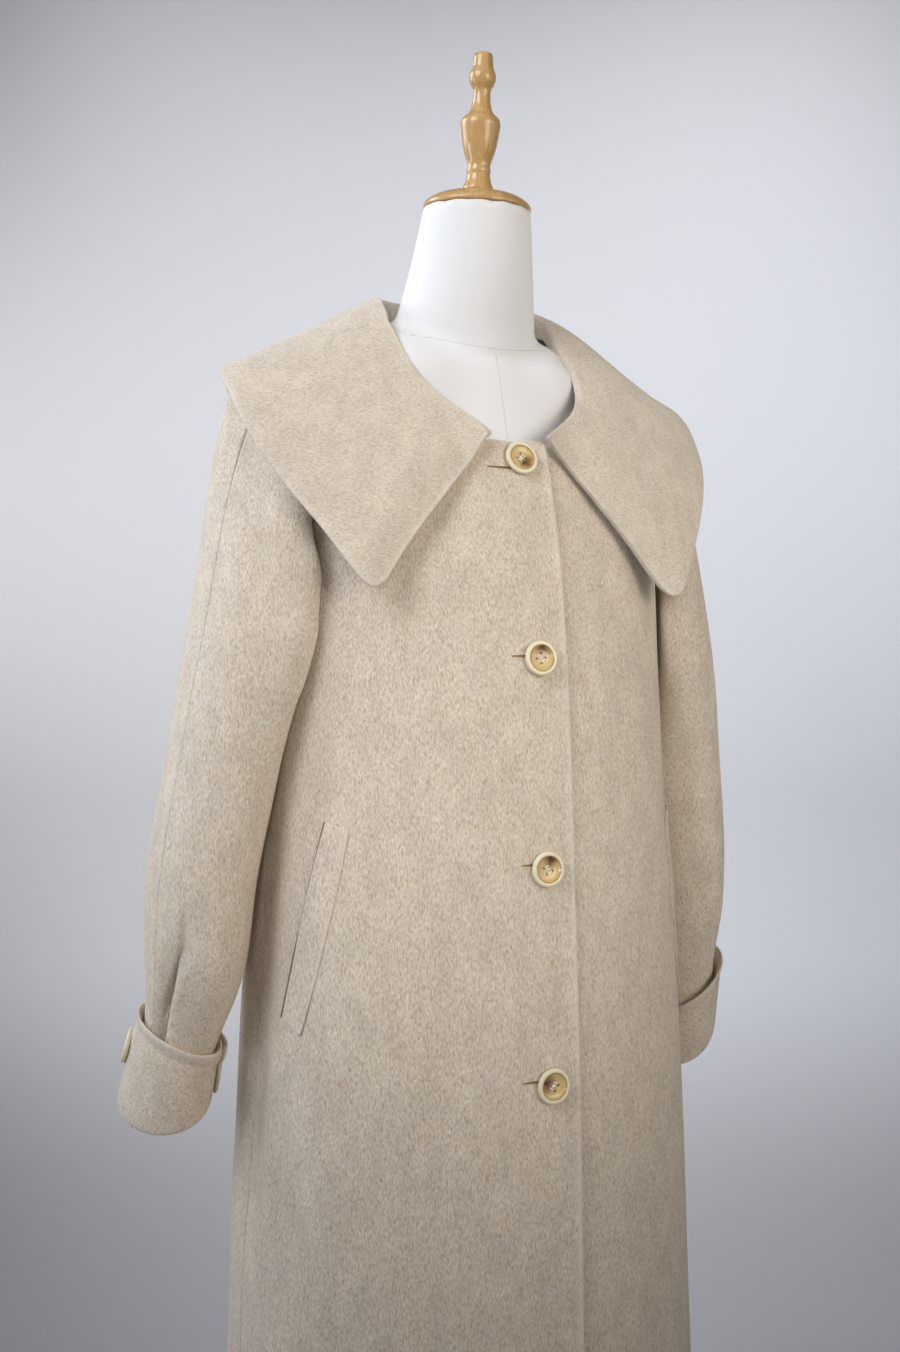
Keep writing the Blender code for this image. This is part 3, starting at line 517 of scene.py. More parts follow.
def fold_height(points: np.ndarray, out: np.ndarray, fold: Fold) -> np.ndarray:
    """Works out how far one fold lifts each point.

    Args:
        points: Points of the cloth.
        out: The way out at each point.
        fold: The fold.

    Returns:
        One height for each point.
    """
    line = np.array(fold.line)
    steps = np.linalg.norm(np.diff(line, axis=0), axis=1)
    starts = np.concatenate(([0.0], np.cumsum(steps)))
    best = np.full(len(points), 1e9)
    along = np.zeros(len(points))
    right = np.zeros(len(points), bool)
    for start, end, step, before in zip(line[:-1], line[1:], steps, starts):
        share = np.clip((points - start) @ (end - start) / step ** 2, 0.0, 1.0)
        off = points - start - share[:, None] * (end - start)
        gap = np.linalg.norm(off, axis=1)
        closer = gap < best
        best = np.where(closer, gap, best)
        along = np.where(closer, before + share * step, along)
        right = np.where(closer, (np.cross(end - start, out) * off).sum(1) > 0.0, right)
    across = np.clip(1.0 - best / (fold.width * np.where(right, fold.steep, 1.0)), 0.0, 1.0)
    ends = np.sin(np.pi * np.clip(along / starts[-1] * 0.94 + 0.03, 0.0, 1.0)) ** 0.7
    return fold.height * (3.0 - 2.0 * across) * across ** 2 * ends


def show(piece: bpy.types.Object, material: bpy.types.Material, slot: Slot, *nodes: str) -> bpy.types.Object:
    """Gives a new piece its finish, its body and the solids that it stands for.

    Args:
        piece: The piece.
        material: Its material.
        slot: Not used.
        nodes: Names of the solids that it replaces.

    Returns:
        The piece.
    """
    piece.data.materials.clear()
    piece.data.materials.append(material)
    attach(piece, BODY)
    if nodes:
        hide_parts(*nodes)
    log.info("%s: %s", piece.name, material.name)
    return piece


def new_piece(name: str, data: bpy.types.ID) -> bpy.types.Object:
    """Links a new object to the scene.

    Args:
        name: Name of the piece.
        data: Its mesh or curve.

    Returns:
        The object.
    """
    made = bpy.data.objects.new(name, data)
    bpy.context.scene.collection.objects.link(made)
    return made


def mesh_from(work: bmesh.types.BMesh, name: str) -> bpy.types.Mesh:
    """Makes a mesh and frees what it is made from.

    Args:
        work: The points and faces, which are freed.
        name: Name of the mesh.

    Returns:
        The mesh.
    """
    mesh = bpy.data.meshes.new(name)
    work.to_mesh(mesh)
    work.free()
    return mesh


def bake(piece: bpy.types.Object) -> None:
    """Keeps in a piece's mesh what its modifiers make of it.

    Args:
        piece: The piece.
    """
    plain = piece.data
    shaped = piece.evaluated_get(bpy.context.evaluated_depsgraph_get())
    piece.data = bpy.data.meshes.new_from_object(shaped)
    piece.modifiers.clear()
    bpy.data.meshes.remove(plain)
    piece.data.name = piece.name


def middle_of(node: str) -> Vector:
    """Finds the middle of a solid's box.

    Args:
        node: Name of the solid.

    Returns:
        The middle.
    """
    low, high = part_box(node)
    return (low + high) / 2


def on_side(side: int, places: tuple[Point, ...]) -> tuple[Point, ...]:
    """Moves places on the coat's left half to one of its halves.

    Args:
        side: -1 for the right half, which mirrors them, and 1 for the left.
        places: The places, or directions.

    Returns:
        The places on that half.
    """
    return tuple((side * x, y, z) for x, y, z in places)


def weld(node: str, sharp_deg: float, edge: float) -> tuple[bmesh.types.BMesh, np.ndarray]:
    """Copies a solid's mesh in four-sided faces and marks its sharp edges.

    Args:
        node: Name of the solid.
        sharp_deg: Angle from which an edge is sharp.
        edge: How firmly a sharp edge holds, from 0 to 1.

    Returns:
        The mesh and points along its sharp edges.
    """
    work = bmesh.new()
    work.from_mesh(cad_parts[node].data)
    bmesh.ops.remove_doubles(work, verts=work.verts, dist=0.01 * MM)
    bmesh.ops.join_triangles(work, faces=work.faces, angle_face_threshold=math.radians(42.0),
                             angle_shape_threshold=math.radians(75.0))
    hold = work.edges.layers.float.new("crease_edge")
    marks = []
    for line in work.edges:
        if line.is_manifold and line.calc_face_angle(0.0) > math.radians(sharp_deg):
            line[hold] = edge
            one, two = (v.co for v in line.verts)
            count = max(2, int((two - one).length / (2.0 * MM)))
            marks += [one.lerp(two, k / count) for k in range(count)]
    return work, np.array(marks)


def subdivide(work: bmesh.types.BMesh, name: str, levels: int) -> bpy.types.Object:
    """Makes a piece from a mesh, with its subdivision kept in it.

    Args:
        work: The mesh, which is freed.
        name: Name of the piece.
        levels: Steps of subdivision.

    Returns:
        The piece.
    """
    piece = new_piece(name, mesh_from(work, name))
    rounder = piece.modifiers.new("rounder", "SUBSURF")
    rounder.levels = levels
    rounder.render_levels = levels
    bake(piece)
    piece.data.shade_smooth()
    return piece


def smooth_copy(node: str, name: str, levels: int, edge: float, sharp_deg: float = 48.0) -> bpy.types.Object:
    """Copies a solid as a smooth piece.

    Args:
        node: Name of the solid.
        name: Name of the piece.
        levels: Steps of subdivision.
        edge: How firmly its sharp edges hold, from 0 to 1.
        sharp_deg: Angle from which an edge is sharp.

    Returns:
        The piece.
    """
    work, _ = weld(node, sharp_deg, edge)
    return subdivide(work, name, levels)


def surface_of(piece: bpy.types.Object) -> BVHTree:
    """Makes a search tree of a piece's faces.

    Args:
        piece: A piece whose mesh is in the shared frame.

    Returns:
        The tree.
    """
    mesh = piece.data
    return BVHTree.FromPolygons([v.co.copy() for v in mesh.vertices],
                                [list(f.vertices) for f in mesh.polygons])


def tubes(name: str, paths: list[list[Vector]], radius: float, up: Vector,
          sides: int = 8) -> bpy.types.Object:
    """Makes round cords along lines of points.

    Args:
        name: Name of the piece.
        paths: The lines; one that ends where it starts is a ring.
        radius: Half the thickness of the cord.
        up: A direction that no line runs along.
        sides: Faces round the cord.

    Returns:
        The piece.
    """
    work = bmesh.new()
    for path in paths:
        ring = (path[0] - path[-1]).length < 1e-6
        places = path[:-1] if ring else path
        rows = []
        for k, place in enumerate(places):
            last = len(places) - 1
            before = places[k - 1] if ring or k > 0 else place
            after = places[(k + 1) % len(places)] if ring or k < last else place
            ahead = (after - before).normalized()
            side = ahead.cross(up).normalized()
            over = side.cross(ahead)
            turns = [math.tau * t / sides for t in range(sides)]
            rows.append([work.verts.new(place + (side * math.cos(t) + over * math.sin(t)) * radius)
                         for t in turns])
        for one, two in zip(rows, rows[1:] + rows[:1] if ring else rows[1:]):
            for t in range(sides):
                work.faces.new((one[t], one[t - 1], two[t - 1], two[t]))
        if not ring:
            work.faces.new(rows[0])
            work.faces.new(list(reversed(rows[-1])))
    bmesh.ops.recalc_face_normals(work, faces=work.faces)
    mesh = mesh_from(work, name)
    mesh.shade_smooth()
    return new_piece(name, mesh)


def mirrored(side: int, pulls: tuple[Pull, ...]) -> tuple[Pull, ...]:
    """Moves pulls on the left half to one of the halves.

    Args:
        side: -1 for the right half and 1 for the left.
        pulls: The pulls.

    Returns:
        The pulls on that half.
    """
    return tuple((*on_side(side, (place,)), reach, *on_side(side, (way,))) for place, reach, way in pulls)


def pad(piece: bpy.types.Object, pulls: tuple[Pull, ...]) -> None:
    """Draws the points near some places a little way off, most at the place itself.

    Args:
        piece: The piece.
        pulls: Each place, its reach and the way that it is drawn.
    """
    points = points_of(piece.data)
    moved = points.copy()
    for place, reach, way in pulls:
        near = np.clip(1.0 - np.linalg.norm(points - np.array(place), axis=1) / reach, 0.0, 1.0)
        moved += np.array(way) * (near * near * (3.0 - 2.0 * near))[:, None]
    piece.data.vertices.foreach_set("co", moved.ravel())
    piece.data.update()


@dataclass(frozen=True)
class Lip:
    """The raised, paler lip along a piece's cut edges, inside a box of space; the paleness is partly painted
    highlight.
    """

    low: Point
    high: Point
    width: float
    height: float
    groove: float = 0.0


EVERYWHERE = ((-1.0, -1.0, 0.0), (1.0, 1.0, 2.0))


@dataclass
class ClothPiece:
    """One cut piece of the coat: the solid's form with its soft folds and its edge."""

    node: str
    bulge: Bulge
    flat: tuple[float, float]
    area: float
    rests_on: tuple[str, ...]
    nap: Nap = Nap.DOWN
    held: str = "hung"
    folds: tuple[Fold, ...] = ()
    uneven: float = 0.5 * MM
    levels: int = 2
    lip: Lip | None = None
    pulls: tuple[Pull, ...] = ()
    puff: float = 0.16 * MM
    edge: float = 0.32
    fibres: int = 0

    def edge_distance(self, points: np.ndarray, marks: np.ndarray) -> np.ndarray:
        """Finds how far each point is from the cut edges that have a lip.

        Args:
            points: Points of the cloth.
            marks: Points along its sharp edges.

        Returns:
            One distance for each point.
        """
        inside = ((marks > np.array(self.lip.low)) & (marks < np.array(self.lip.high))).all(1)
        chosen = marks[inside]
        tree = KDTree(len(chosen))
        for k, place in enumerate(chosen):
            tree.insert(place, k)
        tree.balance()
        return np.array([tree.find(place)[2] for place in points])

    def build(self) -> bpy.types.Object:
        """Makes the piece with its folds and its lip.

        Returns:
            The piece.
        """
        work, marks = weld(self.node, 48.0, self.edge)
        piece = subdivide(work, self.node + "_cloth", self.levels)
        mesh = piece.data
        points = points_of(mesh)
        flat = np.empty(len(points) * 3)
        mesh.vertex_normals.foreach_get("vector", flat)
        out = way_out(points, self.bulge)
        lift = self.uneven * (np.sin(points[:, 2] * 31.0 + points[:, 0] * 17.0)
                              * np.sin(points[:, 1] * 23.0 - points[:, 0] * 29.0 + 1.3))
        for fold in self.folds:
            lift += fold_height(points, out, fold)
        rim = np.zeros(len(points))
        if self.lip:
            away = self.edge_distance(points, marks)
            near = np.clip(1.0 - away / self.lip.width, 0.0, 1.0)
            rim = near ** 1.5
            lift += self.lip.height * near * near * (3.0 - 2.0 * near)
            lift -= self.lip.groove * np.exp(-((away / self.lip.width - 1.15) / 0.22) ** 2)
        moved = points + out * lift[:, None] + flat.reshape(-1, 3) * self.puff
        mesh.vertices.foreach_set("co", moved.ravel())
        # The rim attribute pales the lip in the cloth, partly as a painted highlight along the edge.
        mesh.attributes.new("rim", "FLOAT", "POINT").data.foreach_set("value", rim)
        pad(piece, self.pulls)
        return piece

    def dress(self, piece: bpy.types.Object, cloth: bpy.types.Material) -> None:
        """Gives the piece its cloth and hides the solid that it replaces.

        Args:
            piece: The built piece.
            cloth: Its material.
        """
        show(piece, cloth, Slot.WOOL, self.node)


def sewn_down(side: int) -> tuple[Fold, ...]:
    """Gives the folds that lift a welt's mouth and sew its other edge down.

    Args:
        side: -1 for the coat's right side, 1 for its left.

    Returns:
        The two folds.
    """
    seam = ((0.1595, -0.0996, 0.9328), (0.1714, -0.0936, 0.8684), (0.1869, -0.0831, 0.7926),
            (0.1935, -0.0772, 0.7586))
    mouth = ((0.1734, -0.0877, 0.9341), (0.1847, -0.0799, 0.8801), (0.1975, -0.0693, 0.8038),
             (0.2026, -0.0639, 0.7695))
    return Fold(on_side(side, seam), 0.014, -1.5 * MM), Fold(on_side(side, mouth), 0.009, 0.8 * MM)


@dataclass
class Coat:
    """The coat's cloth pieces, with the places of their lips, folds and pulls."""

    finish: BrushedWool = BrushedWool()
    made: dict[str, bpy.types.Object] = field(default_factory=dict)
    lap: Lip = Lip((0.012, -0.5, 0.1), (0.08, 0.0, 1.3), 8.0 * MM, 1.5 * MM)
    collar_edge: Lip = Lip(*EVERYWHERE, 6.0 * MM, 0.5 * MM)
    welt_edge: Lip = Lip(*EVERYWHERE, 3.0 * MM, 0.0)
    turned: Lip = Lip((-1.0, -1.0, 0.728), EVERYWHERE[1], 10.0 * MM, 2.6 * MM, 1.5 * MM)
    # How both halves of the collar lie on the shoulders, given for the left one.
    drape: tuple[Pull, ...] = (
        ((0.152, -0.128, 1.138), 0.07, (0.0005, -0.0006, -0.0045)),
        ((0.243, -0.015, 1.314), 0.05, (0.002, 0.003, 0.009)),
        ((0.234, 0.03, 1.32), 0.05, (-0.008, -0.002, 0.006)),
        ((0.204, 0.085, 1.307), 0.06, (-0.016, 0.0, 0.002)),
        ((0.081, 0.006, 1.384), 0.022, (0.003, 0.0, -0.007)),
        ((0.087, -0.018, 1.373), 0.018, (0.002, 0.0, -0.005)),
    )
    # What only one half does: the right end at the top button, and the left half beside the neck.
    drape_uneven: tuple[Pull, ...] = (
        ((-0.033, -0.1125, 1.266), 0.03, (-0.006, 0.0, 0.0)),
        ((0.088, -0.03, 1.372), 0.04, (-0.007, -0.001, -0.001)),
    )
    # The hollow down the side seam, behind the near sleeve.
    hollow: Fold = Fold(((-0.2075, -0.024, 0.95), (-0.211, -0.018, 0.78), (-0.214, -0.014, 0.68),
                         (-0.217, -0.01, 0.55)), 0.034, -8.0 * MM)
    back_folds: tuple[Fold, ...] = (
        Fold(((0.07, 0.12, 1.12), (0.085, 0.16, 0.8), (0.10, 0.18, 0.34)), 0.055, 5.0 * MM),
        Fold(((-0.06, 0.12, 1.08), (-0.075, 0.16, 0.76), (-0.09, 0.18, 0.32)), 0.05, 5.0 * MM),
        Fold(((0.0, 0.13, 1.05), (0.008, 0.17, 0.7), (0.004, 0.18, 0.3)), 0.05, -4.0 * MM),
    )
    right_folds: tuple[Fold, ...] = (
        Fold(((-0.1722, -0.0678, 1.185), (-0.1739, -0.0674, 1.1486), (-0.1751, -0.068, 1.11)),
             0.007, 1.5 * MM),
        Fold(((-0.165, -0.0996, 0.89), (-0.1871, -0.0942, 0.6658), (-0.2, -0.0843, 0.40)), 0.045, 3.0 * MM),
        Fold(((-0.0977, -0.1421, 0.93), (-0.095, -0.1504, 0.63), (-0.09, -0.155, 0.36)), 0.05, -2.0 * MM),
    )
    left_folds: tuple[Fold, ...] = (
        Fold(((0.1515, -0.0993, 1.09), (0.15, -0.11, 0.8986), (0.1694, -0.1062, 0.74)), 0.04, 2.0 * MM),
        Fold(((0.1052, -0.1407, 0.86), (0.1208, -0.1418, 0.5885), (0.13, -0.144, 0.36)), 0.05, -2.0 * MM),
    )
    # The first is the tuck over the near cuff: its front side laps over the dark trough.
    right_arm_folds: tuple[Fold, ...] = (
        Fold(((-0.2828, -0.0337, 0.862), (-0.2837, -0.031, 0.8319), (-0.2848, -0.0156, 0.8067),
              (-0.2859, 0.0007, 0.7825), (-0.289, 0.0081, 0.745)), 0.015, -6.5 * MM, 0.3),
        Fold(((-0.2686, -0.0484, 0.94), (-0.2696, -0.0461, 0.8732), (-0.2744, -0.0399, 0.8309),
              (-0.2791, -0.0277, 0.77)), 0.017, -2.2 * MM),
        Fold(((-0.223, -0.042, 1.27), (-0.2255, -0.056, 1.2082), (-0.2267, -0.0685, 1.1568),
              (-0.2274, -0.075, 1.0)), 0.03, -5.0 * MM),
    )
    right_arm_pulls: tuple[Pull, ...] = (((-0.187, -0.075, 1.15), 0.045, (0.011, -0.003, 0.0)),)
    sleeve_puff: float = 0.65 * MM
    sleeve_hold: float = 0.8

    def collar_pulls(self) -> tuple[Pull, ...]:
        """Lists the pulls that lay the collar down.

        Returns:
            The pulls of both halves.
        """
        pulls = []
        for side in (-1, 1):
            pulls += mirrored(side, self.drape)
            # The front edges lie close to the coat, the left one closest.
            inward = 0.0052 if side > 0 else 0.003
            for share in np.linspace(0.0, 1.0, 5):
                place = (side * (0.052 + 0.078 * share), -0.115 - 0.01 * share, 1.247 - 0.091 * share)
                pulls.append((place, 0.038, (0.0, inward, 0.0)))
        return (*pulls, *self.drape_uneven)

    def button_seat(self, side: str, arm: Bulge) -> tuple[Pull, ...]:
        """Lets a cuff swell a little where its button is sewn down.

        Args:
            side: Name of the sleeve's side.
            arm: The arm that the cuff is wrapped round.

        Returns:
            The pull.
        """
        middle = np.array(middle_of(f"button_cuff_{side}"))
        out = way_out(middle[None, :], arm)[0]
        return ((tuple(middle - out * 4.0 * MM), 0.03, tuple(out * 1.3 * MM)),)

    def cut_list(self) -> list[ClothPiece]:
        """Lists the cut pieces with their flat sizes and folds.

        Returns:
            The pieces in the order of making.
        """
        trunk = Bulge.TRUNK
        right_folds = (*self.right_folds, self.hollow)
        pieces = [
            ClothPiece("back", trunk, (0.66, 1.15), 0.635, ("form_torso",),
                       folds=(self.hollow, *self.back_folds)),
            ClothPiece("front_right", trunk, (0.36, 1.15), 0.332, ("form_torso",), folds=right_folds,
                       levels=3, lip=self.lap, fibres=7000),
            ClothPiece("front_left", trunk, (0.36, 1.15), 0.332, ("form_torso",), folds=self.left_folds),
            ClothPiece("collar", Bulge.SHOULDERS, (0.62, 0.48), 0.174, ("front_right", "front_left", "back"),
                       Nap.ACROSS, "draped", levels=3, lip=self.collar_edge, pulls=self.collar_pulls(),
                       edge=0.18, fibres=16000),
            ClothPiece("pocket_welt_right", trunk, (0.028, 0.185), 0.0051, ("front_right",), held="laid",
                       levels=3, folds=right_folds + sewn_down(-1), lip=self.welt_edge),
            ClothPiece("pocket_welt_left", trunk, (0.028, 0.185), 0.0051, ("front_left",), held="laid",
                       folds=self.left_folds + sewn_down(1)),
        ]
        arms = (
            ("right", Bulge.ARM_RIGHT, (0.16, 0.64), 0.083, (0.20, 0.60), 0.103, self.right_arm_folds,
             self.right_arm_pulls, 3),
            ("left", Bulge.ARM_LEFT, (0.13, 0.64), 0.057, (0.24, 0.60), 0.130, (), (), 2),
        )
        for side, arm, upper, upper_area, under, under_area, folds, pulls, levels in arms:
            body = (f"front_{side}", "back")
            sleeve = {"held": "gathered", "puff": self.sleeve_puff, "edge": self.sleeve_hold}
            pieces += [
                ClothPiece(f"sleeve_{side}_upper", arm, upper, upper_area, body, folds=folds, levels=levels,
                           pulls=pulls, **sleeve),
                ClothPiece(f"sleeve_{side}_under", arm, under, under_area, body, **sleeve),
                ClothPiece(f"cuff_{side}", arm, (0.29, 0.085), 0.0205, (f"sleeve_{side}_upper",), Nap.SHORT,
                           "folded", levels=3, lip=self.turned, pulls=self.button_seat(side, arm), edge=0.14,
                           fibres=4000),
            ]
        return pieces

    def build(self) -> None:
        """Makes and dresses each piece."""
        cloths = {nap: self.finish.make(f"wool_double_faced_brushed_{nap.name.lower()}", nap) for nap in Nap}
        fibre = TwistedThread(self.finish.pale, self.finish.ground).make("wool_brushed_loose_fibre")
        for cut in self.cut_list():
            piece = cut.build()
            cut.dress(piece, cloths[cut.nap])
            self.made[cut.node] = piece
            if cut.fibres:
                LooseFibres(cut.fibres).build(piece, fibre)


@dataclass
class LooseFibres:
    """Loose fibres that stand off the brushed lips of the cut edges."""

    count: int = 9000
    length_mm: tuple[float, float] = (0.9, 2.6)
    # A fibre is about 0.03 mm thick, drawn wider so that it shows.
    half_width: float = 0.055 * MM
    seed: int = 7

    def build(self, cloth: bpy.types.Object, fibre: bpy.types.Material) -> None:
        """Roots the fibres along the lip of one piece.

        Args:
            cloth: The piece, with its lip marked.
            fibre: The fibres' finish.
        """
        chance = np.random.default_rng(self.seed)
        mesh = cloth.data
        rim = np.empty(len(mesh.vertices))
        mesh.attributes["rim"].data.foreach_get("value", rim)
        ways = np.empty(len(rim) * 3)
        mesh.vertex_normals.foreach_get("vector", ways)
        lip = np.flatnonzero(rim > 0.5)
        roots = chance.choice(lip, self.count)
        start = points_of(mesh)[roots] + chance.normal(0.0, 0.35 * MM, (self.count, 3))
        way = ways.reshape(-1, 3)[roots] + chance.normal(0.0, 0.55, (self.count, 3))
        way /= np.linalg.norm(way, axis=1, keepdims=True)
        aside = np.cross(way, chance.normal(0.0, 1.0, (self.count, 3)))
        aside *= self.half_width / np.linalg.norm(aside, axis=1, keepdims=True)
        long = chance.uniform(*self.length_mm, (self.count, 1)) * MM
        corners = np.stack((start - aside, start + aside, start + way * long), 1).reshape(-1, 3)
        hairs = bpy.data.meshes.new(cloth.name + "_fibres")
        hairs.from_pydata(corners.tolist(), [], np.arange(self.count * 3).reshape(-1, 3).tolist())
        show(new_piece(cloth.name + "_fibres", hairs), fibre, Slot.WOOL)


@dataclass
class DressForm:
    """The padded form with its seams, and the turned wood on its neck."""

    cover: IvoryCover = IvoryCover()
    wood: VarnishedWood = VarnishedWood()
    neck_seam: tuple[float, float] = (1.3829, 0.40)
    seam_low: float = 0.95
    seam_radius: float = 0.45 * MM
    # How the padding fills the left shoulder out under the collar; the right one mirrors it.
    shoulder: tuple[Pull, ...] = (
        ((0.07, -0.054, 1.332), 0.05, (0.008, -0.007, 0.009)),
        ((0.066, -0.026, 1.356), 0.032, (0.007, -0.002, 0.009)),
        ((0.07, 0.0, 1.368), 0.026, (0.004, 0.0, 0.008)),
    )

    def seams(self, torso: bpy.types.Object) -> list[list[Vector]]:
        """Finds the lines of the cover's seams on the torso.

        Args:
            torso: The built torso.

        Returns:
            A ring round the base of the neck, and lines down the front and the back.
        """
        skin = surface_of(torso)
        height, slope = self.neck_seam
        ring = []
        for k in range(72):
            turn = math.tau * k / 72
            way = Vector((math.sin(turn), -math.cos(turn), slope * -math.cos(turn))).normalized()
            start = Vector((0.0, 0.0, height)) + way * 0.4
            place, normal, *_ = skin.ray_cast(start, -way)
            if place:
                ring.append(place - normal * self.seam_radius * 0.6)
        lines = [ring + ring[:1]]
        for side in (-1.0, 1.0):
            path = []
            for z in np.linspace(height - 0.03, self.seam_low, 60):
                place, normal, *_ = skin.ray_cast(Vector((0.0, side * 0.5, z)), Vector((0.0, -side, 0.0)))
                if place:
                    path.append(place - normal * self.seam_radius * 0.6)
            lines.append(path)
        return lines

    def build(self) -> None:
        """Makes and dresses the form, the cap, the finial and the stand."""
        ivory = self.cover.make("cotton_jersey_stretched_ivory")
        torso = smooth_copy("form_torso", "form_torso_cover", 2, 0.5)
        for side in (-1, 1):
            pad(torso, mirrored(side, self.shoulder))
        show(torso, ivory, Slot.LINEN, "form_torso")
        ring, front, back = self.seams(torso)
        felled = IvoryCover("DCD9D0", "CFCBC0").make("cotton_jersey_felled_seam")
        for name, paths, up in (("form_seam_neck", [ring], Vector((0.0, 0.0, 1.0))),
                                ("form_seam_middle", [front, back], Vector((0.0, 1.0, 0.0)))):
            show(tubes(name, paths, self.seam_radius, up, 6), felled, Slot.LINEN)
        beech = self.wood.make("beech_turned_varnished", tuple(middle_of("finial")))
        for node in ("neck_cap", "finial"):
            show(smooth_copy(node, node + "_turned", 1, 0.5, 62.0), beech, Slot.WOOD, node)
        steel = BrushedSteel().make("steel_drawn_brushed")
        for node, material, slot in (("stand_pole", steel, Slot.STEEL), ("stand_base", beech, Slot.WOOD)):
            show(smooth_copy(node, node + "_turned", 2, 0.8, 40.0), material, slot, node)


@dataclass
class Button:
    """One horn button with the thread that sews it on."""

    node: str
    # Offset of the brown cloud, which is partly painted shade in the dish.
    cloud_and_shade: tuple[float, float]
    carrier: str
    bulge: Bulge
    spin_deg: float = 0.0
    sink: float = 0.0
    hole_off: float = 4.1 * MM
    hole_radius: float = 1.25 * MM
    thick: float = 4.6 * MM
    sides: int = 64
    thread_radius: float = 0.62 * MM
    shank_radius: float = 1.9 * MM
    profile_mm: tuple[tuple[float, float], ...] = (
        (0.0, 2.0), (3.5, 2.05), (7.2, 2.3), (10.0, 3.05), (11.5, 4.15), (12.1, 4.5), (12.9, 4.65),
        (13.8, 4.6), (14.8, 4.15), (15.35, 3.4), (15.5, 2.6), (15.1, 1.4), (14.2, 0.4), (13.2, 0.05),
        (0.0, 0.0),
    )

    def turn_on_lathe(self, place: Matrix, turn: float) -> bpy.types.Object:
        """Turns the button's profile and drills its four holes.

        Args:
            place: Frame at the middle of the button's back, with z out of its face.
            turn: Angle of the first hole.

        Returns:
            The piece.
        """
        work = bmesh.new()
        rows = []
        for radius, height in self.profile_mm:
            turns = [math.tau * k / self.sides for k in range(self.sides if radius else 1)]
            rows.append([work.verts.new((radius * MM * math.cos(a), radius * MM * math.sin(a), height * MM))
                         for a in turns])
        for one, two in zip(rows, rows[1:]):
            for k in range(self.sides):
                after = k + 1
                ring = [one[k % len(one)], two[k % len(two)], two[after % len(two)], one[after % len(one)]]
                work.faces.new(list(dict.fromkeys(ring)))
        bmesh.ops.recalc_face_normals(work, faces=work.faces)
        drill = bmesh.new()
        for k in range(4):
            angle = turn + math.tau * k / 4
            at = Matrix.Translation((self.hole_off * math.cos(angle), self.hole_off * math.sin(angle),
                                     2.0 * MM))
            bmesh.ops.create_cone(drill, cap_ends=True, segments=14, radius1=self.hole_radius,
                                  radius2=self.hole_radius, depth=12.0 * MM, matrix=at)
        name = self.node + "_horn"
        piece = new_piece(name, mesh_from(work, name))
        cutter = new_piece("drill", mesh_from(drill, "drill"))
        cut = piece.modifiers.new("holes", "BOOLEAN")
        cut.solver = "EXACT"
        cut.object = cutter
        bake(piece)
        bpy.data.objects.remove(cutter)
        piece.data.transform(place)
        piece.data.shade_smooth()
        piece.data.set_sharp_from_angle(angle=math.radians(40.0))
        return piece

    def axis(self, points: np.ndarray, centre: np.ndarray) -> Vector:
        """Finds the way that the button faces.

        Args:
            points: Points of the solid.
            centre: Middle of the solid.

        Returns:
            The unit vector out of the button's face.
        """
        _, ways = np.linalg.eigh(np.cov((points - centre).T))
        face = ways[:, 0]
        out = way_out(centre[None, :], self.bulge)[0]
        return Vector(face if face @ out > 0.0 else -face)

    def build(self, finish: PolishedHorn, thread: bpy.types.Material, cloth: bpy.types.Object) -> None:
        """Makes the button, its stitches and its shank.

        Args:
            finish: The horn.
            thread: The thread.
            cloth: The piece that carries the button.
        """
        centre = middle_of(self.node)
        across, up = self.cloud_and_shade
        horn = finish.make(f"horn_cut_polished_{self.node}", centre,
                           centre + Vector((across * MM, 0.0, up * MM)))
        points = points_of(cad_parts[self.node].data)
        face = self.axis(points, np.array(centre))
        side = face.cross(Vector((0.0, 0.0, 1.0))).normalized()
        over = face.cross(side)
        off = points - np.array(centre)
        flat = off @ np.array(side) + 1j * (off @ np.array(over))
        holes = flat[np.abs(flat) < 6.0 * MM]
        turn = np.angle(((holes / np.abs(holes)) ** 4).sum()) / 4.0 + math.radians(self.spin_deg)
        centre -= face * self.sink
        back = centre - face * self.thick / 2
        place = Matrix.Translation(back) @ Matrix((side, over, face)).transposed().to_4x4()
        piece = self.turn_on_lathe(place, turn)
        show(piece, horn, Slot.HORN, self.node)
        skin = surface_of(piece)
        corners = []
        for k in range(4):
            angle = turn + math.tau * k / 4
            corners.append(centre + (side * math.cos(angle) + over * math.sin(angle)) * self.hole_off)
        stitches = []
        for one, two in ((corners[0], corners[1]), (corners[2], corners[3])):
            middle = (one + two) / 2
            top, *_ = skin.ray_cast(middle + face * 0.02, -face)
            rise = (top - middle).dot(face)
            path = []
            for share in np.linspace(0.0, 1.0, 7):
                bow = rise + 0.55 * MM - 2.6 * MM * abs(2.0 * share - 1.0) ** 5
                path.append(one.lerp(two, share) + face * bow)
            stitches.append(path)
        show(tubes(self.node + "_stitches", stitches, self.thread_radius, face), thread, Slot.WOOL)
        under, *_ = surface_of(cloth).ray_cast(centre, -face, 0.03)
        if under:
            shank = [under - face * 0.6 * MM, centre]
            cord = tubes(self.node + "_shank", [shank], self.shank_radius, Vector((0.2, 0.3, 1.0)), 10)
            show(cord, thread, Slot.WOOL)


